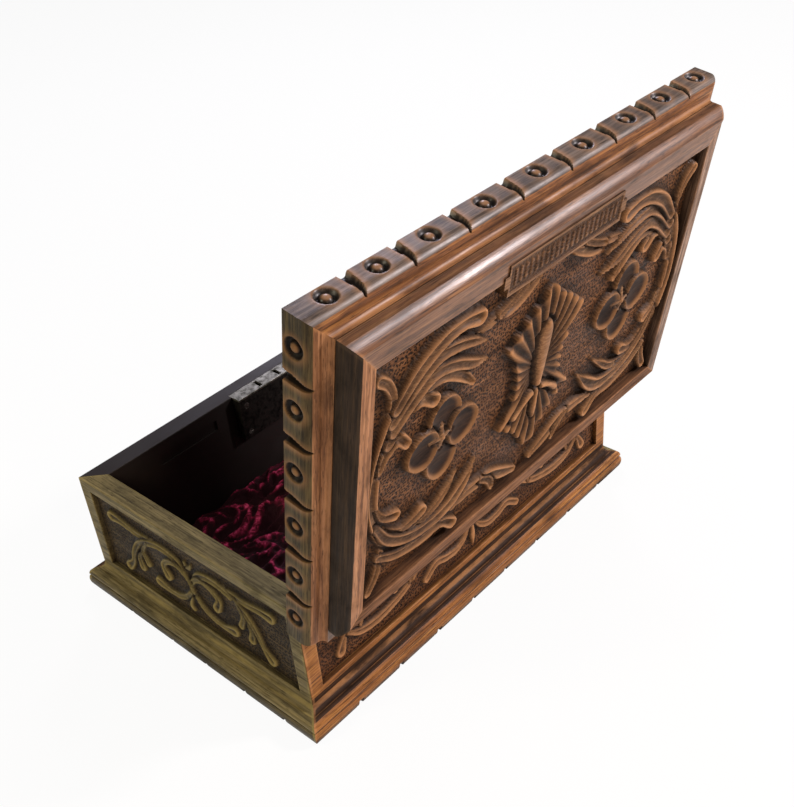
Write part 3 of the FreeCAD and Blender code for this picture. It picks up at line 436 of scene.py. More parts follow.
def merged(node):
    """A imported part's mesh with its doubled points merged."""
    bm = bmesh.new()
    bm.from_mesh(frame["nodes"][node].data)
    bmesh.ops.remove_doubles(bm, verts=bm.verts[:], dist=MERGE)
    return bm


def join_flat_faces(bm):
    bmesh.ops.dissolve_limit(bm, angle_limit=math.radians(0.5), verts=bm.verts[:], edges=bm.edges[:])


def cut_through(bm, place, way, clear=False):
    """Cut a mesh on a plane, and take off what lies beyond it where that is asked."""
    bmesh.ops.bisect_plane(bm, geom=bm.verts[:] + bm.edges[:] + bm.faces[:], dist=TINY,
                           plane_co=place, plane_no=way, clear_outer=clear)


def frame_copy(node, arris=0.0, longer=20 * MM):
    """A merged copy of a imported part, its long corners rounded by wear."""
    bm = merged(node)
    join_flat_faces(bm)
    if arris:
        wear_corners(bm, arris, longer)
    soften(bm)
    return bm


def wear_corners(bm, arris, longer):
    """Round the long corners, as handling does."""
    corners = [e for e in bm.edges if len(e.link_faces) == 2 and e.calc_length() > longer
               and e.calc_face_angle(0) > math.radians(32)]
    bmesh.ops.bevel(bm, geom=corners, offset=arris, offset_type="OFFSET", segments=2,
                    profile=0.5, affect="EDGES", clamp_overlap=True, material=-1)
    soften(bm)


def edge_loops(bm):
    return [e for e in bm.edges if e.is_boundary]


def draw_out(bm, move):
    """Extrude the open rim, move its new points, and return the new rim."""
    made = bmesh.ops.extrude_edge_only(bm, edges=edge_loops(bm))["geom"]
    for item in made:
        if isinstance(item, bmesh.types.BMVert):
            move(item)
    return [item for item in made if isinstance(item, bmesh.types.BMEdge) and item.is_boundary]


def close_below(bm, floor, two_loops=False):
    """Give a carved surface its sides and its flat back."""
    def drop(vert):
        vert.co.z = floor
    rims = draw_out(bm, drop)
    if two_loops:
        bmesh.ops.bridge_loops(bm, edges=rims)
    else:
        bmesh.ops.holes_fill(bm, edges=rims, sides=0)
    bmesh.ops.recalc_face_normals(bm, faces=bm.faces[:])


def smooth_step(value):
    value = np.clip(value, 0, 1)
    return value * value * (3 - 2 * value)


def blurred(heights, reach):
    """A box blur run twice, with the edge repeated."""
    result = heights
    for axis in (0, 1, 0, 1):
        padded = np.concatenate([np.repeat(np.take(result, [0], axis), reach + 1, axis), result,
                                 np.repeat(np.take(result, [-1], axis), reach, axis)], axis)
        total = np.cumsum(padded, axis)
        width = 2 * reach + 1
        count = result.shape[axis]
        result = (np.take(total, range(width, width + count), axis)
                  - np.take(total, range(0, count), axis)) / width
    return result


def through(points, step=1.2):
    """Points along a smooth curve through given ones, each with its half width."""
    knots = np.array(points, float)
    ends = np.vstack([2 * knots[0] - knots[1], knots, 2 * knots[-1] - knots[-2]])
    ends[0, 2], ends[-1, 2] = knots[0, 2], knots[-1, 2]
    line = []
    for i in range(1, len(ends) - 2):
        before, start, stop, after = ends[i - 1:i + 3]
        count = max(2, int(np.hypot(*(stop - start)[:2]) / step))
        for t in np.arange(count) / count:
            line.append(0.5 * (2 * start + (stop - before) * t
                               + (2 * before - 5 * start + 4 * stop - after) * t * t
                               + (3 * start - before - 3 * stop + after) * t ** 3))
    line.append(knots[-1])
    return np.array(line)


# How far out the side of a leaf runs before it reaches the ground, in millimetres
WALL_RUN = 1.1


class Carving:
    """A carved height field in millimetres over a rectangle."""

    def __init__(self, x0, x1, y0, y1, cell):
        self.count_x = int(round((x1 - x0) / cell))
        self.count_y = int(round((y1 - y0) / cell))
        self.xs = np.linspace(x0, x1, self.count_x + 1)
        self.ys = np.linspace(y0, y1, self.count_y + 1)
        self.x, self.y = np.meshgrid(self.xs, self.ys)
        self.height = np.zeros(self.x.shape)
        self.ground = np.ones(self.x.shape)
        self.darkened = np.zeros(self.x.shape)
        self.cell = cell

    def window(self, x0, x1, y0, y1):
        """The part of the field between two corners."""
        i0, i1 = np.searchsorted(self.xs, [x0, x1])
        j0, j1 = np.searchsorted(self.ys, [y0, y1])
        return slice(max(j0 - 1, 0), j1 + 1), slice(max(i0 - 1, 0), i1 + 1)

    def lay(self, part, inside, raised, groove=None, darkened=0):
        """Put a raised form over what is there, with a groove dug along its outline."""
        under = self.height[part]
        if groove is not None:
            under = under * groove
        self.height[part] = np.where(inside, raised, under)
        self.ground[part] = np.where(inside, 0, self.ground[part])
        self.darkened[part] = np.where(inside, darkened, self.darkened[part])

    def stroke(self, points, high, profile="hollow", groove=1.0, rise=(1, 1)):
        """A leaf, stem or ray along a curve, as wide as its points say."""
        line = through(points)
        reach = line[:, 2].max() + groove + self.cell
        part = self.window(line[:, 0].min() - reach, line[:, 0].max() + reach,
                           line[:, 1].min() - reach, line[:, 1].max() + reach)
        x, y = self.x[part], self.y[part]
        if not x.size:
            return
        best = np.full(x.shape, 9.0)
        wide = np.ones(x.shape)
        along = np.zeros(x.shape)
        total = len(line) - 1
        for i in range(total):
            (ax, ay, ar), (bx, by, br) = line[i], line[i + 1]
            dx, dy = bx - ax, by - ay
            length = dx * dx + dy * dy or 1e-9
            t = np.clip(((x - ax) * dx + (y - ay) * dy) / length, 0, 1)
            radius = np.maximum(ar + (br - ar) * t, 0.25)
            gap = np.hypot(x - ax - t * dx, y - ay - t * dy) / radius
            nearer = gap < best
            best = np.where(nearer, gap, best)
            wide = np.where(nearer, radius, wide)
            along = np.where(nearer, (i + t) / total, along)
        inside = best < 1
        top = high * (rise[0] + (rise[1] - rise[0]) * along)
        shoulder = 1 - WALL_RUN / np.maximum(wide, 1.6)
        fall = smooth_step((1 - best) / np.maximum(1 - shoulder, 0.12))
        if profile == "hollow":
            form = 0.45 + 0.55 * smooth_step((best - 0.15) / 0.55)
        else:
            form = np.sqrt(np.clip(1 - 0.75 * best ** 2, 0, 1))
        raised = top * form * (0.18 + 0.82 * fall)
        dug = smooth_step((best - 1) * wide / groove)
        self.lay(part, inside, raised, 0.25 + 0.75 * dug)

    def mirrored(self, points, high, groove=1.0, rise=(1, 1)):
        """The same leaf on both sides of the middle."""
        for sign in (1, -1):
            self.stroke([(sign * x, y, r) for x, y, r in points], high, "hollow", groove, rise)

    def surface(self, cell_reach=4):
        """The mesh of the field, with how hollow and how proud each point is."""
        bm = bmesh.new()
        bmesh.ops.create_grid(bm, x_segments=self.count_x, y_segments=self.count_y, size=1)
        mean = blurred(self.height, cell_reach)
        fine = blurred(self.height, 1)
        layers = [bm.verts.layers.float.new(name) for name in CARVED_LAYERS]
        tall = self.height.max()
        # Painted shade and highlight: hollows, and steep walls below the tops, are marked for the stain
        # with painted shade, and crests for wear with a painted highlight
        slope = np.hypot(*np.gradient(self.height, self.cell))
        wall = smooth_step((slope - 0.55) / 0.9) * smooth_step((0.8 * tall - self.height) / (0.3 * tall))
        cavity = np.maximum(np.clip((mean - self.height) / (0.3 * tall), 0, 1), 0.85 * wall)
        ridge = np.clip((fine - mean) / (0.28 * tall), 0, 1) * np.clip(self.height / (0.5 * tall), 0, 1)
        ground = blurred(self.ground, 1)
        fields = [np.clip(f, 0, 1) for f in (ground, cavity * 0.92, ridge, self.darkened)]
        for vert in bm.verts:
            i = int(round((vert.co.x + 1) / 2 * self.count_x))
            j = int(round((vert.co.y + 1) / 2 * self.count_y))
            vert.co = (self.xs[i] * MM, self.ys[j] * MM, self.height[j, i] * MM)
            for layer, field in zip(layers, fields):
                vert[layer] = float(field[j, i])
        return bm


# The lid's ornament, drawn once for the left half. A point is its distance from the middle, its
# distance from the hinge and the half width of the cut there, all in millimetres
MAIN_STEM = [(62, 171, 4.2), (75, 172.5, 3.6), (92, 169, 4.2), (106, 160, 4.6), (118, 147, 4.8),
             (127, 130, 4.6), (131.5, 110, 4.4), (131.5, 92, 4.4), (127, 75, 4.6), (121, 63, 4.6),
             (112, 54, 4.4), (98, 47, 4.2), (82, 46, 4.2), (68, 50, 3.6), (58, 57, 3), (50, 66, 1.5)]
UPPER_LEAVES = [
    [(118, 147, 4), (104, 162, 5), (88, 171, 5), (74, 173, 4.6), (63, 171, 5.6)],
    [(120, 140, 4), (106, 154, 5), (91, 162, 4.6), (76, 161, 4), (62, 156, 3), (52, 150, 1)],
    [(119, 134, 4), (105, 147, 5), (91, 153, 4.4), (77, 150, 4), (63, 143, 3.6), (50, 138, 1.2)],
    [(98, 147, 3), (84, 147, 4), (72, 141, 4.6), (62, 131, 3)],
    [(122, 128, 4), (113, 139, 4.6), (101, 143, 4.4), (92, 138, 5)],
    [(127, 114, 3), (124, 123, 4.4), (116, 128, 4.6), (110, 122, 4)]]
LOWER_LEAVES = [
    [(127, 75, 3), (118, 60, 4), (104, 50, 4.4), (88, 46, 4.6), (72, 48, 5.2), (60, 56, 5), (48, 68, 1.2)],
    [(120, 62, 2), (105, 53, 3), (85, 55, 3.3), (74, 62, 3.2), (64, 70, 1.2)],
    [(122, 70, 2), (110, 60, 3), (100, 60, 3.6), (93, 63, 4.6)],
    [(127, 88, 2), (123, 80, 3), (114, 76, 4.2)],
    [(124, 50, 3), (110, 42, 3.7), (90, 38, 4.2), (74, 38, 3.7), (64, 31, 4.6)]]
CORNER_LEAVES = [
    [(121, 66, 2), (123, 50, 3), (126, 38, 3.6), (131, 29, 3.6)],
    [(124, 140, 2), (121, 155, 3), (125, 166, 3.6), (131, 172, 4)]]
MIDDLE_LEAVES = [
    [(66, 44, 3), (50, 46, 4), (34, 45, 4.6), (20, 38, 4.6), (8, 32, 3)],
    [(40, 46, 3), (32, 40, 3.6), (29, 33, 3)],
    [(66, 158, 2), (50, 161, 3), (34, 162, 4), (20, 168, 3.6), (12, 172, 2)],
    [(45, 162, 3), (35, 166, 3), (26, 171, 3)]]
LEAF_HIGH, STEM_HIGH = 5.2, 5.0

# The burst of rays behind the cross, as one half of its outline
BURST = [(0, 162.5), (7, 152), (18, 145), (34, 132), (25, 118), (21, 104), (22, 92), (33, 77),
         (18, 66), (8, 54), (0, 40.5)]
BURST_RIM, BURST_MIDDLE, RAY_DEEP, RAY_NICK, RAY_COUNT = 5.6, 2.2, 2.2, 2.2, 28
CROSS_BAR = [(0, 134, 3.4), (0, 128, 6.8), (0, 116, 6.2), (0, 104, 5), (0, 93, 3.4)]
CROSS_FOOT = [(0, 92, 2.6), (0, 84, 2.4), (0, 75, 3.2), (0, 68, 1.6)]
CROSS_ARMS = [(-19, 79, 3.4), (-13, 84, 2.6), (-5, 88, 2.8), (5, 88, 2.8), (13, 84, 2.6), (19, 79, 3.4)]
ROSETTE = (80.5, 105.5)
PETAL_FROM, PETAL_RADIUS, PETAL_HIGH = 15.5, 12.4, 5.4


def burst(carving):
    """Rays spread from the middle, highest at their tips."""
    outline = BURST + [(-x, y) for x, y in BURST[-2:0:-1]]
    part = carving.window(-38, 38, 36, 167)
    x, y = carving.x[part], carving.y[part]
    inside = np.zeros(x.shape, bool)
    near = np.full(x.shape, 99.0)
    for (ax, ay), (bx, by) in zip(outline, outline[1:] + outline[:1]):
        crosses = (ay > y) != (by > y)
        edge_x = ax + (y - ay) * (bx - ax) / (by - ay if by != ay else 1e-9)
        inside ^= crosses & (x < edge_x)
        length = (bx - ax) ** 2 + (by - ay) ** 2
        t = np.clip(((x - ax) * (bx - ax) + (y - ay) * (by - ay)) / length, 0, 1)
        near = np.minimum(near, np.hypot(x - ax - t * (bx - ax), y - ay - t * (by - ay)))
    middle_y = 103
    radius = np.hypot(x * 1.7, y - middle_y)
    angle = np.arctan2(y - middle_y, x * 1.35)
    rays = 1 - np.abs((angle * RAY_COUNT / (2 * math.pi)) % 1 * 2 - 1)
    inside &= near > RAY_NICK * (1 - rays)
    spread = smooth_step(radius / 42)
    rise = BURST_MIDDLE + (BURST_RIM - BURST_MIDDLE) * spread
    form = (rise - RAY_DEEP * (1 - rays) * (0.4 + spread)) * smooth_step(0.25 + near / 0.9)
    groove = smooth_step(near / 1.2)
    carving.lay(part, inside, form, groove, 0.75)


def rosette(carving, centre_x, centre_y):
    """Four cupped petals and a small pointed heart."""
    part = carving.window(centre_x - 28, centre_x + 28, centre_y - 28, centre_y + 28)
    x, y = carving.x[part] - centre_x, carving.y[part] - centre_y
    for turn in (90, 270, 0, 180):
        way = math.radians(turn)
        px, py = PETAL_FROM * math.cos(way), PETAL_FROM * math.sin(way)
        out = (x - px) * math.cos(way) + (y - py) * math.sin(way)
        across = -(x - px) * math.sin(way) + (y - py) * math.cos(way)
        shape = np.hypot(out, across * (1 + 0.012 * out)) / PETAL_RADIUS
        cup = 0.3 + 0.5 * shape ** 2.6 + 0.2 * smooth_step((shape - 0.84) / 0.06)
        fall = smooth_step((1 - shape) / 0.07)
        groove = smooth_step((shape - 1) / 0.12)
        carving.lay(part, shape < 1, PETAL_HIGH * cup * (0.25 + 0.75 * fall), groove,
                    smooth_step((0.93 - shape) / 0.06))
    radius = np.hypot(x, y)
    angle = np.arctan2(y, x)
    star = 4.0 + 5.4 * np.abs(np.cos(2 * angle)) ** 4
    heart = radius < star
    slope = np.clip(1 - radius / star, 0, 1)
    carving.lay(part, heart, 1.6 + 2.6 * slope, smooth_step((radius - star) / 1.0))
    ball = radius < 2.6
    carving.lay(part, ball, 4.4 * np.sqrt(np.clip(1 - (radius / 2.9) ** 2, 0, 1)), None)


def lid_carving():
    """The carved panel of the lid."""
    cell = chosen().cell / MM
    half = LID_HALF - EDGE_INSET - FRAME_WIDTH
    carving = Carving(-half, half, EDGE_INSET + FRAME_WIDTH, LID_DEEP - EDGE_INSET - FRAME_FRONT, cell)
    for leaf in CORNER_LEAVES:
        carving.mirrored(leaf, LEAF_HIGH * 0.9)
    for leaf in MIDDLE_LEAVES:
        carving.mirrored(leaf, LEAF_HIGH * 0.95)
    carving.mirrored(MAIN_STEM, STEM_HIGH)
    for leaf in UPPER_LEAVES[::-1] + LOWER_LEAVES[::-1]:
        carving.mirrored(leaf, LEAF_HIGH, rise=(0.8, 1.05))
    for sign in (1, -1):
        rosette(carving, sign * ROSETTE[0], ROSETTE[1])
    burst(carving)
    carving.stroke(CROSS_ARMS, 6.0, "round", 1.4)
    carving.stroke(CROSS_FOOT, 5.8, "round", 1.4)
    carving.stroke(CROSS_BAR, 6.2, "round", 1.4, rise=(1.0, 0.95))
    carving.height = 0.6 * carving.height + 0.4 * blurred(carving.height, 1)
    bm = carving.surface()
    close_below(bm, (SLAB_TOP - PANEL_TOP + PANEL_SINK) * MM)
    soften(bm, math.radians(88))
    lift = Matrix(((1, 0, 0, 0), (0, -1, 0, 0), (0, 0, 1, (PANEL_TOP - PANEL_SINK) * MM), (0, 0, 0, 1)))
    bmesh.ops.transform(bm, matrix=lift, verts=bm.verts[:])
    bmesh.ops.recalc_face_normals(bm, faces=bm.faces[:])
    finished_piece("lid_carved_panel", bm, ["lid_carved"], "lid", ("lid_panel",), OPEN_LID)


# The tablet at the front of the lid has a row of plain upright reeds
TABLET_HALF, TABLET_LOW, TABLET_HIGH = 48, 175.4, 193
TABLET_TOP, TABLET_SUNK, FLUTE_PITCH = 31.95, 0.62, 4.2


def tablet():
    """The tablet, with a border and a row of plain upright reeds."""
    carving = Carving(-TABLET_HALF - 3, TABLET_HALF + 3, TABLET_LOW, TABLET_HIGH, 0.4)
    x, y = np.abs(carving.x), carving.y
    border = np.minimum(TABLET_HALF - x, np.minimum(y - TABLET_LOW, TABLET_HIGH - y))
    sunk = smooth_step((border - 1.5) / 0.5)
    flute = np.abs((carving.x / FLUTE_PITCH + 0.5) % 1 - 0.5) * 2
    middle = (TABLET_LOW + TABLET_HIGH) / 2
    run = smooth_step((5.2 - np.abs(y - middle)) / 1.0) * (x < TABLET_HALF - 5)
    carving.height = (TABLET_TOP - TABLET_SUNK * sunk
                      + 0.5 * run * smooth_step((0.62 - flute) / 0.2))
    carving.ground = 0.5 * sunk
    bm = carving.surface(3)
    # The sunk ground of the tablet is darkened towards the stain colour, as stain with painted shade
    layer = bm.verts.layers.float["cavity"]
    for vert in bm.verts:
        vert[layer] = 0.92 * min(max((TABLET_TOP - vert.co.z / MM) / (TABLET_SUNK + 0.35), 0), 1)
    outside = [v for v in bm.verts if abs(v.co.x) > TABLET_HALF * MM
               and abs(v.co.y - middle * MM) > 3.6 * MM]
    bmesh.ops.delete(bm, geom=outside, context="VERTS")
    close_below(bm, (PANEL_TOP - PANEL_SINK) * MM)
    soften(bm, math.radians(50))
    flip = Matrix.Diagonal((1, -1, 1, 1))
    bmesh.ops.transform(bm, matrix=flip, verts=bm.verts[:])
    bmesh.ops.recalc_face_normals(bm, faces=bm.faces[:])
    finished_piece("lid_tablet", bm, ["lid_carved"], "lid", (), OPEN_LID)


# Roundels and gouge cuts along the lid's edge, at the uneven places the carver gave them
FRONT_ROUNDELS = (142.6, 112, 78, 39, -1, -40, -79.5, -114, -149.9)
FRONT_CUTS = (127, 95.5, 58.5, 19, -20.5, -59.5, -96.5, -132)
SIDE_ROUNDELS = (195, 161, 123.5, 87.5, 51.5, 17.5)
SIDE_CUTS = (178, 142, 105.5, 69.5, 34.5)
ROUNDEL_MIDDLE, CUT_RUN = 6.6, 17.5
EDGE_CELL = 0.5

# The round turns to its lit finish, a painted light, this far above the flat
LIT_ROUND_FROM = 4.7


def edge_profile(cell):
    """Points up the moulded edge: how far in, how high, and which way is inward."""
    line = []
    for t in np.arange(0, EDGE_FLAT - LID_LOW, cell):
        line.append((0, LID_LOW + t, 1, 0))
    turns = int(EDGE_ROUND * math.pi / 2 / cell)
    for turn in np.linspace(0, math.pi / 2, turns + 1):
        line.append((EDGE_ROUND * (1 - math.cos(turn)), EDGE_FLAT + EDGE_ROUND * math.sin(turn),
                     math.cos(turn), -math.sin(turn)))
    turns = int(EDGE_HOLLOW * math.pi / 2 / cell)
    for turn in np.linspace(0, math.pi / 2, turns + 1):
        line.append((EDGE_ROUND + EDGE_FILLET + EDGE_HOLLOW * math.sin(turn),
                     SLAB_TOP - EDGE_HOLLOW * math.cos(turn), 0, 0))
    return np.array(line)


def edge_strip(name, start, stop, square_start, roundels, cuts, lean, keys, to_lid):
    """One side of the lid's moulded edge, mitred where it meets the next."""
    sizes = chosen()
    profile = edge_profile(EDGE_CELL)
    steps = np.hypot(np.diff(profile[:, 0]), np.diff(profile[:, 1]))
    run = np.concatenate([[0], np.cumsum(steps)])
    count_s = int((stop - start) / EDGE_CELL)
    places = np.linspace(start, stop, count_s + 1)
    s, t = np.meshgrid(places, run)
    depth = np.zeros(s.shape)
    radius, button = sizes.roundel / MM, sizes.button / MM
    for middle in roundels:
        away = np.hypot(s - middle, t + LID_LOW - ROUNDEL_MIDDLE)
        dish = 2.3 * smooth_step((radius - away) / 2.4)
        dome = 2.0 * (1 - np.sqrt(np.clip(1 - (away / button) ** 2, 0, 1)) * 0.95)
        depth = np.where(away < radius, np.where(away < button, dome, dish), depth)
    wide, deep = sizes.cut_width / MM / 2, sizes.cut_depth / MM
    for line in cuts:
        share = np.clip(t / CUT_RUN, 0, 1)
        q = (s - line - lean * share ** 2) / (wide * (1 - share ** 2.2) + 0.01)
        wall = np.where(q < 0, smooth_step((q + 1) / 0.35), 0.25 + 0.75 * (1 - q))
        gouge = deep * (1 - 0.55 * share ** 2) * np.clip(wall, 0, 1)
        depth = np.where((np.abs(q) < 1) & (t < CUT_RUN), np.maximum(depth, gouge), depth)
    bm = bmesh.new()
    rows = len(run) - 1
    bmesh.ops.create_grid(bm, x_segments=count_s, y_segments=rows, size=1)
    layers = [bm.verts.layers.float.new(layer) for layer in ("cavity", "ridge", "ground")]
    # The roundels and gouge cuts are darkened as stain with painted shade, and the wood round them takes
    # wear with a painted highlight
    mean = blurred(depth, 5)
    cavity = smooth_step(depth / 0.9) * 0.93
    ridge = np.clip((mean - depth) / 1.2, 0, 0.6)
    for vert in bm.verts:
        i = int(round((vert.co.x + 1) / 2 * count_s))
        j = int(round((vert.co.y + 1) / 2 * rows))
        offset, height, in_offset, in_height = profile[j]
        offset += depth[j, i] * in_offset
        height += depth[j, i] * in_height
        low = start if square_start else start + offset
        vert.co = (min(max(places[i], low), stop - offset), offset, max(height, LID_LOW))
        vert[layers[0]], vert[layers[1]] = float(cavity[j, i]), float(ridge[j, i])

    def to_core(vert):
        low = start if square_start else start + EDGE_INSET
        vert.co.x = min(max(vert.co.x, low), stop - EDGE_INSET)
        vert.co.y = EDGE_INSET
    bmesh.ops.holes_fill(bm, edges=draw_out(bm, to_core), sides=0)
    bmesh.ops.remove_doubles(bm, verts=bm.verts[:], dist=0.01)
    # Painted light on the lid's edge: the round above this height takes a lit finish, and the flat below a
    # finish greyed for a painted sheen on the front and darkened for painted shade on the sides
    two_tone(bm, lambda face: face.calc_center_median().z > EDGE_FLAT + LIT_ROUND_FROM)
    bmesh.ops.transform(bm, matrix=to_lid, verts=bm.verts[:])
    bmesh.ops.scale(bm, vec=(MM, MM, MM), verts=bm.verts[:])
    bmesh.ops.recalc_face_normals(bm, faces=bm.faces[:])
    soften(bm, math.radians(50))
    finished_piece(name, bm, keys, "lid", (), OPEN_LID)


def lid_slab():
    """The lid's slab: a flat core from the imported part, inside three moulded edges."""
    bm = merged("lid_board")
    bmesh.ops.transform(bm, matrix=OPEN_LID.inverted(), verts=bm.verts[:])
    inner = (LID_HALF - EDGE_INSET) * MM
    for place, way in (((inner, 0, 0), (1, 0, 0)), ((-inner, 0, 0), (-1, 0, 0)),
                       ((0, (EDGE_INSET - LID_DEEP) * MM, 0), (0, -1, 0))):
        cut_through(bm, place, way, True)
        bmesh.ops.holes_fill(bm, edges=edge_loops(bm), sides=0)
    join_flat_faces(bm)
    soften(bm)
    finished_piece("lid_slab", bm, ["lid_x"], "lid", ("lid_board",), OPEN_LID)
    front = Matrix.Translation((0, -LID_DEEP, 0))
    edge_strip("lid_front_edge", -LID_HALF, LID_HALF, False, FRONT_ROUNDELS, FRONT_CUTS, 1.6,
               ["lid_edge_x", "lid_round_x"], front)
    for side, sign in (("left", 1), ("right", -1)):
        turned = Matrix(((0, -sign, 0, sign * LID_HALF), (-1, 0, 0, 0), (0, 0, 1, 0), (0, 0, 0, 1)))
        edge_strip("lid_%s_edge" % side, 0, LID_DEEP, True, SIDE_ROUNDELS, SIDE_CUTS, -2.4,
                   ["lid_edge_y", "lid_y"], turned)


# The ends of the box, drawn as seen from outside: distance from the middle towards the back, and
# height above the table
END_LEAVES = [
    ([(-3, 73, 1), (-2, 70, 2), (2, 68, 1)], 2.6),
    ([(10, 71, 1.6), (30, 72, 2.6), (50, 71, 2.8), (66, 73, 3.4), (74, 73, 4.6)], 2.8),
    ([(2, 60, 2.2), (10, 69, 2.8), (24, 72, 3), (38, 69, 3), (50, 62, 3), (58, 51, 2.8), (62, 41, 2.6),
      (68, 34, 4.2)], 3.0),
    ([(48, 56, 1.6), (53, 49, 2.6), (52, 41, 3.6)], 2.8),
    ([(42, 66, 1.6), (47, 57, 2.4), (44, 48, 3)], 2.7),
    ([(2, 48, 2.2), (8, 41, 2.6), (16, 37, 2.8), (26, 36, 2.8), (36, 38, 4.2)], 2.9),
    ([(-1, 50, 2.2), (2, 59, 2.4), (10, 65, 2.6), (19, 64, 2.6), (26, 58, 2.8), (23, 50, 4)], 3.2)]
END_LEAF_LOW = [(-2, 44, 1), (-5, 36, 2.6), (-3, 32, 1.4)]

# The long sides, drawn as seen from outside: distance from the middle, and height
LONG_LEAVES = [
    ([(112, 52, 2.4), (118, 47, 2.8), (122, 39, 4.2)], 2.8),
    ([(128, 72, 3.8), (120, 66, 2.8), (112, 56, 2.6), (104, 47, 2.2)], 2.8),
    ([(50, 52, 1.6), (62, 46, 2.8), (75, 42, 3.2), (90, 40, 3.4), (104, 42, 3.2), (114, 48, 2.2)], 3.0),
    ([(104, 47, 2), (100, 60, 3), (90, 70, 3.2), (78, 72, 3.2), (68, 66, 3), (66, 57, 2.8),
      (74, 52, 3.8)], 3.1),
    ([(60, 47, 1.6), (58, 60, 2.6), (50, 70, 3), (38, 73, 3.2), (26, 70, 3), (18, 62, 2.8), (20, 54, 2.6),
      (28, 54, 3.8)], 3.1),
    ([(2, 52, 1.6), (8, 45, 2.6), (16, 41, 3), (26, 41.5, 3.2), (36, 44, 3.2), (46, 38, 3.2)], 3.0),
    ([(34, 60, 1.6), (42, 62, 2.6), (48, 58, 3)], 2.6),
    ([(84, 60, 1.6), (90, 58, 2.6), (92, 52, 3)], 2.6)]
LONG_DROP = [(0, 52, 1.6), (0, 43, 3.2), (0, 35, 1)]

# The front's bare place for the key: half its width, its foot and its top
KEY_BARE = (8, 58, 80)
GROUND_LIFT, ROOT = 0.3, 2.5
FIELD_CELL, FIELD_GAP = 0.6, 0.05


def field_carving(name, half, foot, leaves, singles, key, to_box, gap=None):
    """A carved field between the stiles and rails of a board."""
    carving = Carving(-half + FIELD_GAP, half - FIELD_GAP, foot + FIELD_GAP,
                      RIM / MM - TOP_RAIL - FIELD_GAP, FIELD_CELL)
    for leaf, high in leaves:
        carving.mirrored(leaf, high, groove=0.8)
    for leaf, high in singles:
        carving.stroke(leaf, high, "round", groove=0.8)
    carving.height = GROUND_LIFT + 0.6 * carving.height + 0.4 * blurred(carving.height, 1)
    if gap:
        wide, low, top = gap
        bare = (np.abs(carving.x) < wide + 1) & (carving.y > low - 1) & (carving.y < top + 1)
        carving.height = np.where(bare, GROUND_LIFT, carving.height)
    bm = carving.surface()
    if gap:
        inside = [f for f in bm.faces if abs(f.calc_center_median().x) < wide * MM
                  and low * MM < f.calc_center_median().y < top * MM]
        bmesh.ops.delete(bm, geom=inside, context="FACES")
    close_below(bm, -ROOT * MM, bool(gap))
    soften(bm, math.radians(88))
    bmesh.ops.transform(bm, matrix=to_box, verts=bm.verts[:])
    bmesh.ops.recalc_face_normals(bm, faces=bm.faces[:])
    finished_piece(name, bm, [key], "box")


def box_carvings():
    """The carved fields of the four sides."""
    end_x = (HALF_LENGTH - FIELD_SINK) * MM
    long_y = (HALF_WIDTH - FIELD_SINK) * MM
    singles = [(END_LEAF_LOW, 2.6)]
    for side, sign in (("left", 1), ("right", -1)):
        place = Matrix(((0, 0, sign, sign * end_x), (1, 0, 0, 0), (0, 1, 0, 0), (0, 0, 0, 1)))
        field_carving(side + "_end_carving", HALF_WIDTH - STILE, END_FIELD_FOOT, END_LEAVES,
                      singles, "case_carved_y", place)
    for side, sign in (("back", 1), ("front", -1)):
        place = Matrix(((1, 0, 0, 0), (0, 0, sign, sign * long_y), (0, 1, 0, 0), (0, 0, 0, 1)))
        field_carving(side + "_carving", HALF_LENGTH - STILE, FIELD_FOOT, LONG_LEAVES,
                      [(LONG_DROP, 2.8)], "case_carved_x", place, KEY_BARE if sign < 0 else None)


def bare_field(bm, along, out, half_long, foot):
    """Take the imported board's plain leaves off its sunk field, whose carving is a piece of its own.
    The two axes are numbers, and the outer one is signed."""
    axis, sign = abs(out) - 1, math.copysign(1, out)
    outer = max(sign * v.co[axis] for v in bm.verts)
    floor = outer - FIELD_SINK * MM
    near = 1 * MM
    leaves = []
    for face in bm.faces:
        middle = face.calc_center_median()
        depth = sign * middle[axis]
        if (floor - 0.01 * MM < depth < outer - 0.01 * MM and abs(middle[along]) < half_long * MM - near
                and foot * MM + near < middle.z < RIM - TOP_RAIL * MM - near):
            leaves.append(face)
    bmesh.ops.delete(bm, geom=leaves, context="FACES")
    bmesh.ops.triangle_fill(bm, use_beauty=True, edges=edge_loops(bm))
    bmesh.ops.recalc_face_normals(bm, faces=bm.faces[:])


# Painted shadow lies dark on the foot of the long boards, above the plinth
RAIL_SHADE = 24.3


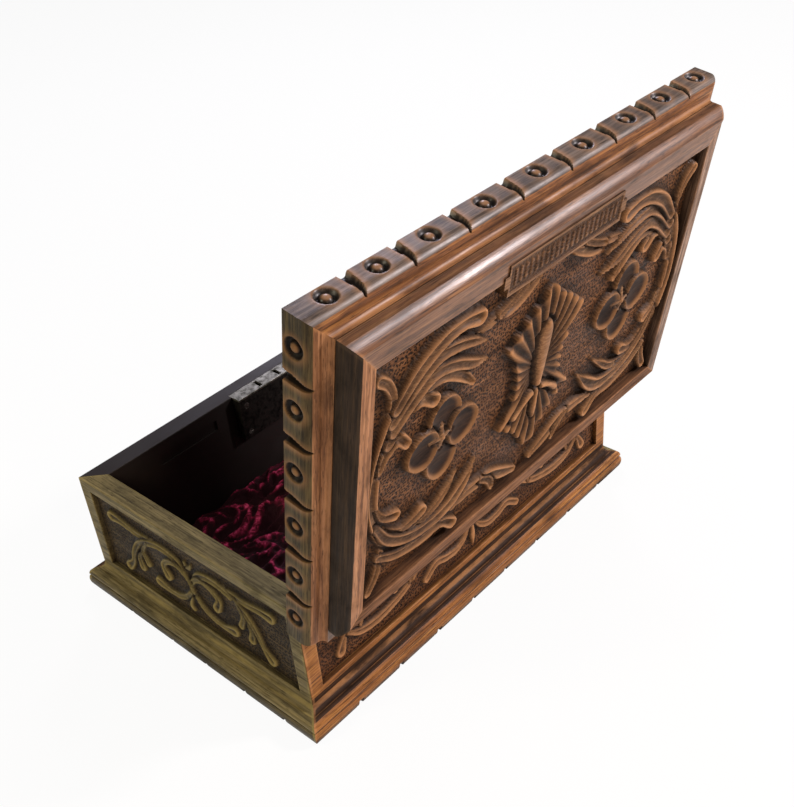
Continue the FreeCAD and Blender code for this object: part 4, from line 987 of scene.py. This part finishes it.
def boards():
    """The four mitred boards and the bottom: stained outside, blackened inside."""
    arris = chosen().arris
    inner_x = (HALF_LENGTH - WALL) * MM
    inner_y = (HALF_WIDTH - WALL) * MM
    long_field, end_field = (HALF_LENGTH - STILE, FIELD_FOOT), (HALF_WIDTH - STILE, END_FIELD_FOOT)
    for node, key, dark_rim, axes, field in (
            ("front_board", "case_x", True, (0, -2), long_field),
            ("back_board", "case_x", False, (0, 2), long_field),
            ("left_end_board", "case_y", False, (1, 1), end_field),
            ("right_end_board", "case_y", False, (1, -1), end_field)):
        bm = frame_copy(node, 0)
        bare_field(bm, *axes, *field)
        wear_corners(bm, arris, 60 * MM)
        # The long boards are cut where the painted shadow on their foot begins
        if key == "case_x":
            cut_through(bm, (0, 0, RAIL_SHADE * MM), (0, 0, 1))

        # The front board's rim takes the same near-black finish as the inside
        def inside(face, dark_rim=dark_rim):
            middle, way = face.calc_center_median(), face.normal
            inner = abs(middle.x) < inner_x + 0.5 * MM and abs(middle.y) < inner_y + 0.5 * MM
            return inner and abs(way.z) < 0.7 or (dark_rim and way.z > 0.5)
        two_tone(bm, inside)
        # The foot of the long boards takes the painted shadow
        for face in bm.faces:
            if (key == "case_x" and face.material_index == 0
                    and face.calc_center_median().z < RAIL_SHADE * MM):
                face.material_index = 2
        finished_piece(node + "_wood", bm, [key, "inside", "case_shadow"], "box", (node,))
    bm = frame_copy("bottom_board")
    finished_piece("bottom_wood", bm, ["inside"], "box", ("bottom_board",))


# Nicks in the foot of the plinth, in millimetres from the middle of each side
LONG_NICKS = (121, 85, 49, 14, -20, -55, -92, -130)
END_NICKS = (-64, -22, 11, 47, 82)
NICK_DEEP, NICK_TALL = 4.2, 4.4

# The heights at which the moulding's finish changes for painted shade, on the long sides and on the ends
COVE_LOW, END_COVE_LOW = 14.9, 9.8


def nick(bm, along, outward, sign, places):
    """Small nicks in the lower outer corner of a length of moulding."""
    outer = max(sign * v.co[outward] for v in bm.verts)
    way = Vector((0, 0, 0))
    way[along] = 1
    for place in places:
        for offset in (-2.1, -1.2, 1.2, 2.1):
            cut_through(bm, way * (place + offset) * MM, way)
        for vert in bm.verts:
            if (abs(vert.co[along] - place * MM) < 1.3 * MM and vert.co.z < NICK_TALL * MM
                    and sign * vert.co[outward] > outer - 2.6 * MM):
                vert.co[outward] -= sign * NICK_DEEP * MM * (1 - 0.6 * vert.co.z / MM / NICK_TALL)


def plinths():
    """The four lengths of the base moulding."""
    for side, keys, along, outward, sign in (
            ("front", ["case_x", "case_shadow"], 0, 1, -1), ("back", ["case_x", "case_shadow"], 0, 1, 1),
            ("left", ["case_foot_shade", "case_y"], 1, 0, 1), ("right", ["case_foot_shade", "case_y"], 1, 0, -1)):
        node = "plinth_" + side
        bm = frame_copy(node, chosen().arris * 0.6, 60 * MM)
        nick(bm, along, outward, sign, LONG_NICKS if along == 0 else END_NICKS)
        # Painted shade: the cove above this height on the long sides, and the round below it on the ends,
        # take a darker finish
        low = COVE_LOW if along == 0 else END_COVE_LOW
        two_tone(bm, lambda face, low=low: face.calc_center_median().z > low * MM)
        soften(bm)
        finished_piece(node + "_moulding", bm, keys, "box", (node,))


def lid_frames():
    """The four mitred members round the lid's panel."""
    for side, key in (("front", "lid_x"), ("back", "lid_low"), ("left", "lid_y"), ("right", "lid_sheen")):
        node = "lid_frame_" + side
        bm = frame_copy(node, chosen().arris, 60 * MM)
        # The outer faces of the left member take a painted shadow; the right member's finish is a painted
        # sheen
        two_tone(bm, lambda face, side=side: side == "left" and face.normal.x > 0.2)
        finished_piece(node + "_moulding", bm, [key, "lid_shade"], "lid", (node,))


# The cloth is a little larger than the floor of the box and lies in crushed rucks. In millimetres:
# the spacing of its points, its thickness, and how high the rucks stand on what lies under them
CLOTH_SEED = 4
CLOTH_CELL, CLOTH_THICK = 1.25, 0.8
RUCK_BASE, RUCK_MEAN, RUCK_FOLD, RUCK_FINE, RUCK_SMALL = 3, 3.5, 5.4, 3.4, 0.8


def velvet():
    """Loose velvet on the bottom, crushed into rucks."""
    low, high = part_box("velvet_cloth")
    width, depth = high.x - low.x, high.y - low.y
    count_x, count_y = int(width / (CLOTH_CELL * MM)), int(depth / (CLOTH_CELL * MM))
    bm = bmesh.new()
    noise.seed_set(CLOTH_SEED)
    bmesh.ops.create_grid(bm, x_segments=count_x, y_segments=count_y, size=1)
    layer = bm.verts.layers.float.new("ridge")
    for vert in bm.verts:
        x, y = vert.co.x * width / 2, vert.co.y * depth / 2
        here = Vector((x * 36, y * 44, 0.4))
        warp = noise.noise_vector(here * 0.8)
        fold = 1 - abs(noise.noise(here + warp * 1.1)) * 2.6
        fine = 1 - abs(noise.noise(here * 3.1 + warp * 1.8 + Vector((5, 2, 0)))) * 2.2
        small = noise.noise(here * 8)
        edge = min(1, (1 - abs(vert.co.x)) * 9, (1 - abs(vert.co.y)) * 6)
        lift = RUCK_MEAN + RUCK_FOLD * fold + RUCK_FINE * fine + RUCK_SMALL * small
        top = low.z + RUCK_BASE * MM + max(lift, 0) * MM * (0.55 + 0.45 * edge) + RUCK_BASE * MM
        # Where the painted highlight of the velvet falls: on the crests of the folds
        vert[layer] = max(0.0, min(1.0, (fold * 0.5 + fine * 0.6 - 0.52) * 2.2))
        vert.co = (x, (low.y + high.y) / 2 + y, min(top, high.z - 1 * MM))
    soften(bm, math.radians(80))
    piece = finished_piece("velvet_lining", bm, ["velvet"], "box", ("velvet_cloth",))
    pile = piece.modifiers.new("pile", "SOLIDIFY")
    pile.thickness = CLOTH_THICK * MM
    pile.offset = -1


# A screw's head radius, its slot's depth and half width, and its shank's radius and length
SCREW_HEAD, SLOT_DEEP, SLOT_HALF, SHANK, SHANK_LONG = 2.3, 0.55, 0.4, 1.1, 6


def slotted_screws(name, node, body, way):
    """Screws with slotted heads at the places of a packed group, turned one by one."""
    bm = merged(node)
    seen, groups = set(), []
    for vert in bm.verts:
        if vert in seen:
            continue
        stack, group = [vert], []
        seen.add(vert)
        while stack:
            here = stack.pop()
            group.append(here.co.copy())
            for edge in here.link_edges:
                other = edge.other_vert(here)
                if other not in seen:
                    seen.add(other)
                    stack.append(other)
        groups.append(group)
    bm.free()
    out = bmesh.new()
    way = Vector(way).normalized()
    for number, group in enumerate(groups):
        top = max(point.dot(way) for point in group)
        middle = sum(group, Vector()) / len(group)
        middle += way * (top - middle.dot(way))
        turn = way.to_track_quat("Z", "Y").to_matrix().to_4x4()
        spin = Matrix.Rotation(0.7 + number * 1.9, 4, "Z")
        one = bmesh.new()
        profile = [(0, 0.15), (SCREW_HEAD * 0.6, 0.1), (SCREW_HEAD, -0.12),
                   (SHANK, SHANK - SCREW_HEAD), (SHANK, -SHANK_LONG), (0, -SHANK_LONG - 0.5)]
        points = [one.verts.new((x * MM, 0, z * MM)) for x, z in profile]
        edges = [one.edges.new(pair) for pair in zip(points, points[1:])]
        bmesh.ops.spin(one, geom=points + edges, cent=(0, 0, 0), axis=(0, 0, 1),
                       angle=2 * math.pi, steps=24, use_merge=True)
        bmesh.ops.remove_doubles(one, verts=one.verts[:], dist=TINY)
        slot = [v for v in one.verts if v.co.z > -0.2 * MM and abs(v.co.y) < SLOT_HALF * MM]
        for vert in slot:
            vert.co.z -= SLOT_DEEP * MM
        bmesh.ops.recalc_face_normals(one, faces=one.faces[:])
        bmesh.ops.transform(one, matrix=Matrix.Translation(middle) @ turn @ spin, verts=one.verts[:])
        mesh = bpy.data.meshes.new("one")
        one.to_mesh(mesh)
        one.free()
        out.from_mesh(mesh)
        bpy.data.meshes.remove(mesh)
    soften(out, math.radians(40))
    finished_piece(name, out, ["steel"], body, (node,))


def lock():
    """The lock's plate on the rim and its case behind the front board."""
    bm = frame_copy("lock_plate", 0.25 * MM, 8 * MM)
    finished_piece("lock_rim_plate", bm, ["lock"], "box", ("lock_plate",))
    for node, key in (("lock_case", "lock_dark"), ("lock_bolt", "lock")):
        dress(node, key)
    slotted_screws("lock_case_screws", "lock_screws", "box", (0, 1, 0))


def dress(node, key):
    """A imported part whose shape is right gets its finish."""
    mesh = frame["nodes"][node].data
    mesh.materials.clear()
    mesh.materials.append(finish_of(key))


def hinges():
    """The two hinges and the link plate, with their screws."""
    for side in ("left", "right"):
        for part in ("box_leaf", "lid_leaf", "pin"):
            dress("%s_hinge_%s" % (side, part), "brass")
    dress("link_plate", "lock")
    under_lid = OPEN_LID.to_3x3() @ Vector((0, 0, -1))
    slotted_screws("box_leaf_screws", "box_hinge_screws", "box", (0, 0, 1))
    slotted_screws("lid_leaf_screws", "lid_hinge_screws", "lid", under_lid)
    slotted_screws("link_plate_screws", "link_screws", "lid", under_lid)


# The camera, found from the corners of the box in the photograph
FOCAL_PIXELS, FRAME_PIXELS = 1104.8883, 807
CAMERA_AZIMUTH, CAMERA_ELEVATION, CAMERA_ROLL = 134.7198, 35.5937, -5.5738
CAMERA_PLACE = (0.40359, 0.44325, 0.51579)
CAMERA_SHIFT = (-0.0037, 0.0204)


def camera():
    """The camera that took the photograph, as far as it can be found."""
    data = bpy.data.cameras.new("camera")
    data.sensor_width = 36
    data.lens = FOCAL_PIXELS * data.sensor_width / FRAME_PIXELS
    data.shift_x, data.shift_y = CAMERA_SHIFT
    data.clip_start = 0.01
    viewer = bpy.data.objects.new("camera", data)
    around, above = math.radians(CAMERA_AZIMUTH), math.radians(CAMERA_ELEVATION)
    backward = Vector((math.sin(around) * math.cos(above), -math.cos(around) * math.cos(above),
                       math.sin(above)))
    right = (-backward).cross(Vector((0, 0, 1))).normalized()
    level = Matrix((right, backward.cross(right), backward)).transposed().to_4x4()
    viewer.matrix_world = (Matrix.Translation(CAMERA_PLACE) @ level
                           @ Matrix.Rotation(math.radians(CAMERA_ROLL), 4, "Z"))
    bpy.context.scene.collection.objects.link(viewer)
    bpy.context.scene.camera = viewer


# Each lamp's name, place and width in metres, power in watts and colour, and what all aim at
LAMPS = (("window", (-0.9, -0.75, 0.95), 0.4, 9, "#ebe8ff"),
         ("overhead", (0.1, 0.1, 1.5), 0.8, 4.5, "#fff2ea"),
         ("skylight", (-0.85, 0.95, 0.95), 0.22, 25, "#fbf0f2"),
         ("warm_lamp", (0.45, 1.35, 0.5), 0.4, 10, "#ffdfc2"),
         ("side_fill", (1.2, -0.4, 1.0), 0.4, 9.5, "#fff4d6"))
LAMP_AIM = (0, 0.02, 0.13)
FLOOR_WHITE, ROOM_LIGHT = 0.93, 0.14


def lamp(name, place, size, power, colour):
    """A soft round lamp."""
    data = bpy.data.lights.new(name, "AREA")
    data.shape = "DISK"
    data.size = size
    data.energy = power
    data.color = tint(colour)[:3]
    light = bpy.data.objects.new(name, data)
    way = Vector(LAMP_AIM) - Vector(place)
    light.matrix_world = Matrix.Translation(place) @ way.to_track_quat("-Z", "Y").to_matrix().to_4x4()
    bpy.context.scene.collection.objects.link(light)


def seen_white(tree):
    """One for the camera's rays and for those that gloss and glass send on, else nothing."""
    path = add(tree, "ShaderNodeLightPath", out="Is Camera Ray")
    rays = path.node.outputs
    seen = add(tree, MATHS, {"operation": "MAXIMUM"}, i0=path, i1=rays["Is Glossy Ray"])
    return add(tree, MATHS, {"operation": "MAXIMUM"}, i0=seen, i1=rays["Is Transmission Ray"])


def stage():
    """A plain pale floor, soft light and the photograph's camera."""
    camera()
    bm = bmesh.new()
    bmesh.ops.create_grid(bm, x_segments=1, y_segments=1, size=6)
    mesh = bpy.data.meshes.new("floor")
    bm.to_mesh(mesh)
    bm.free()
    floor = bpy.data.objects.new("floor", mesh)
    bpy.context.scene.collection.objects.link(floor)
    made, tree, shader = material("pale_floor")
    shader.inputs["Base Color"].default_value = tint("#e4e4e2")
    shader.inputs["Roughness"].default_value = 0.9
    shader.inputs["Specular IOR Level"].default_value = 0.0
    white = add(tree, "ShaderNodeEmission", Color=(1, 1, 1, 1), Strength=1.0)
    share = add(tree, MATHS, TIMES, i0=seen_white(tree), i1=FLOOR_WHITE)
    shade = add(tree, "ShaderNodeMixShader", i0=share, i1=shader.outputs[0], i2=white)
    tree.links.new(shade, tree.nodes["Material Output"].inputs["Surface"])
    mesh.materials.append(made)

    world = bpy.data.worlds.new("soft_room")
    world.use_nodes = True
    bpy.context.scene.world = world
    tree = world.node_tree
    room = tree.nodes["Background"]
    room.inputs["Color"].default_value = tint("#dfe0e4")
    room.inputs["Strength"].default_value = ROOM_LIGHT
    white = add(tree, "ShaderNodeBackground", Color=(1, 1, 1, 1), Strength=1.0)
    seen = add(tree, "ShaderNodeLightPath", out="Is Camera Ray")
    mix = add(tree, "ShaderNodeMixShader", i0=seen, i1=room.outputs[0], i2=white)
    tree.links.new(mix, tree.nodes["World Output"].inputs["Surface"])

    for values in LAMPS:
        lamp(*values)
    bpy.context.scene.view_settings.view_transform = "Standard"


class CARVEDBOX_OT_stage(bpy.types.Operator):
    """Set the floor, the lamps and the camera"""

    bl_idname = "carvedbox.stage"
    bl_label = "Stage"
    bl_options = {"REGISTER", "UNDO"}

    def execute(self, context):
        stage()
        return {"FINISHED"}


class CARVEDBOX_OT_boards(bpy.types.Operator):
    """Make the four boards and the bottom"""

    bl_idname = "carvedbox.boards"
    bl_label = "Boards"
    bl_options = {"REGISTER", "UNDO"}

    def execute(self, context):
        boards()
        return {"FINISHED"}


class CARVEDBOX_OT_plinths(bpy.types.Operator):
    """Make the four lengths of the plinth"""

    bl_idname = "carvedbox.plinths"
    bl_label = "Plinth"
    bl_options = {"REGISTER", "UNDO"}

    def execute(self, context):
        plinths()
        return {"FINISHED"}


class CARVEDBOX_OT_box_carvings(bpy.types.Operator):
    """Carve the four sides of the box"""

    bl_idname = "carvedbox.box_carvings"
    bl_label = "Box carving"
    bl_options = {"REGISTER", "UNDO"}

    def execute(self, context):
        box_carvings()
        return {"FINISHED"}


class CARVEDBOX_OT_lid_slab(bpy.types.Operator):
    """Make the slab of the lid with its carved edges"""

    bl_idname = "carvedbox.lid_slab"
    bl_label = "Lid slab"
    bl_options = {"REGISTER", "UNDO"}

    def execute(self, context):
        lid_slab()
        return {"FINISHED"}


class CARVEDBOX_OT_lid_frames(bpy.types.Operator):
    """Make the mitred frame on the lid"""

    bl_idname = "carvedbox.lid_frames"
    bl_label = "Lid frame"
    bl_options = {"REGISTER", "UNDO"}

    def execute(self, context):
        lid_frames()
        return {"FINISHED"}


class CARVEDBOX_OT_lid_carving(bpy.types.Operator):
    """Carve the panel of the lid"""

    bl_idname = "carvedbox.lid_carving"
    bl_label = "Lid carving"
    bl_options = {"REGISTER", "UNDO"}

    def execute(self, context):
        lid_carving()
        return {"FINISHED"}


class CARVEDBOX_OT_tablet(bpy.types.Operator):
    """Make the reeded tablet at the front of the lid"""

    bl_idname = "carvedbox.tablet"
    bl_label = "Tablet"
    bl_options = {"REGISTER", "UNDO"}

    def execute(self, context):
        tablet()
        return {"FINISHED"}


class CARVEDBOX_OT_velvet(bpy.types.Operator):
    """Lay the crushed velvet"""

    bl_idname = "carvedbox.velvet"
    bl_label = "Velvet"
    bl_options = {"REGISTER", "UNDO"}

    def execute(self, context):
        velvet()
        return {"FINISHED"}


class CARVEDBOX_OT_lock(bpy.types.Operator):
    """Dress the lock"""

    bl_idname = "carvedbox.lock"
    bl_label = "Lock"
    bl_options = {"REGISTER", "UNDO"}

    def execute(self, context):
        lock()
        return {"FINISHED"}


class CARVEDBOX_OT_hinges(bpy.types.Operator):
    """Dress the hinges and the link plate"""

    bl_idname = "carvedbox.hinges"
    bl_label = "Hinges"
    bl_options = {"REGISTER", "UNDO"}

    def execute(self, context):
        hinges()
        return {"FINISHED"}


OPERATORS = [
    CARVEDBOX_OT_stage,
    CARVEDBOX_OT_boards,
    CARVEDBOX_OT_plinths,
    CARVEDBOX_OT_box_carvings,
    CARVEDBOX_OT_lid_slab,
    CARVEDBOX_OT_lid_frames,
    CARVEDBOX_OT_lid_carving,
    CARVEDBOX_OT_tablet,
    CARVEDBOX_OT_velvet,
    CARVEDBOX_OT_lock,
    CARVEDBOX_OT_hinges,
]


class CARVEDBOX_PT_panel(bpy.types.Panel):
    """Buttons and values for the carved box"""

    bl_label = "Carved box"
    bl_idname = "CARVEDBOX_PT_panel"
    bl_space_type = "VIEW_3D"
    bl_region_type = "UI"
    bl_category = "Carved box"

    def draw(self, context):
        for made in OPERATORS:
            self.layout.operator(made.bl_idname)
        for group in (context.scene.carved_box_sizes, context.scene.carved_box_colours):
            for name in group.__annotations__:
                self.layout.prop(group, name)


CLASSES = [CarvedBoxSizes, CarvedBoxColours, *OPERATORS, CARVEDBOX_PT_panel]


def register():
    for item in CLASSES:
        bpy.utils.register_class(item)
    bpy.types.Scene.carved_box_sizes = bpy.props.PointerProperty(type=CarvedBoxSizes)
    bpy.types.Scene.carved_box_colours = bpy.props.PointerProperty(type=CarvedBoxColours)


def unregister():
    del bpy.types.Scene.carved_box_colours
    del bpy.types.Scene.carved_box_sizes
    for item in reversed(CLASSES):
        bpy.utils.unregister_class(item)


def main():
    register()
    for made in OPERATORS:
        group, name = made.bl_idname.split(".")
        getattr(getattr(bpy.ops, group), name)()


if __name__ == "__main__":
    main()
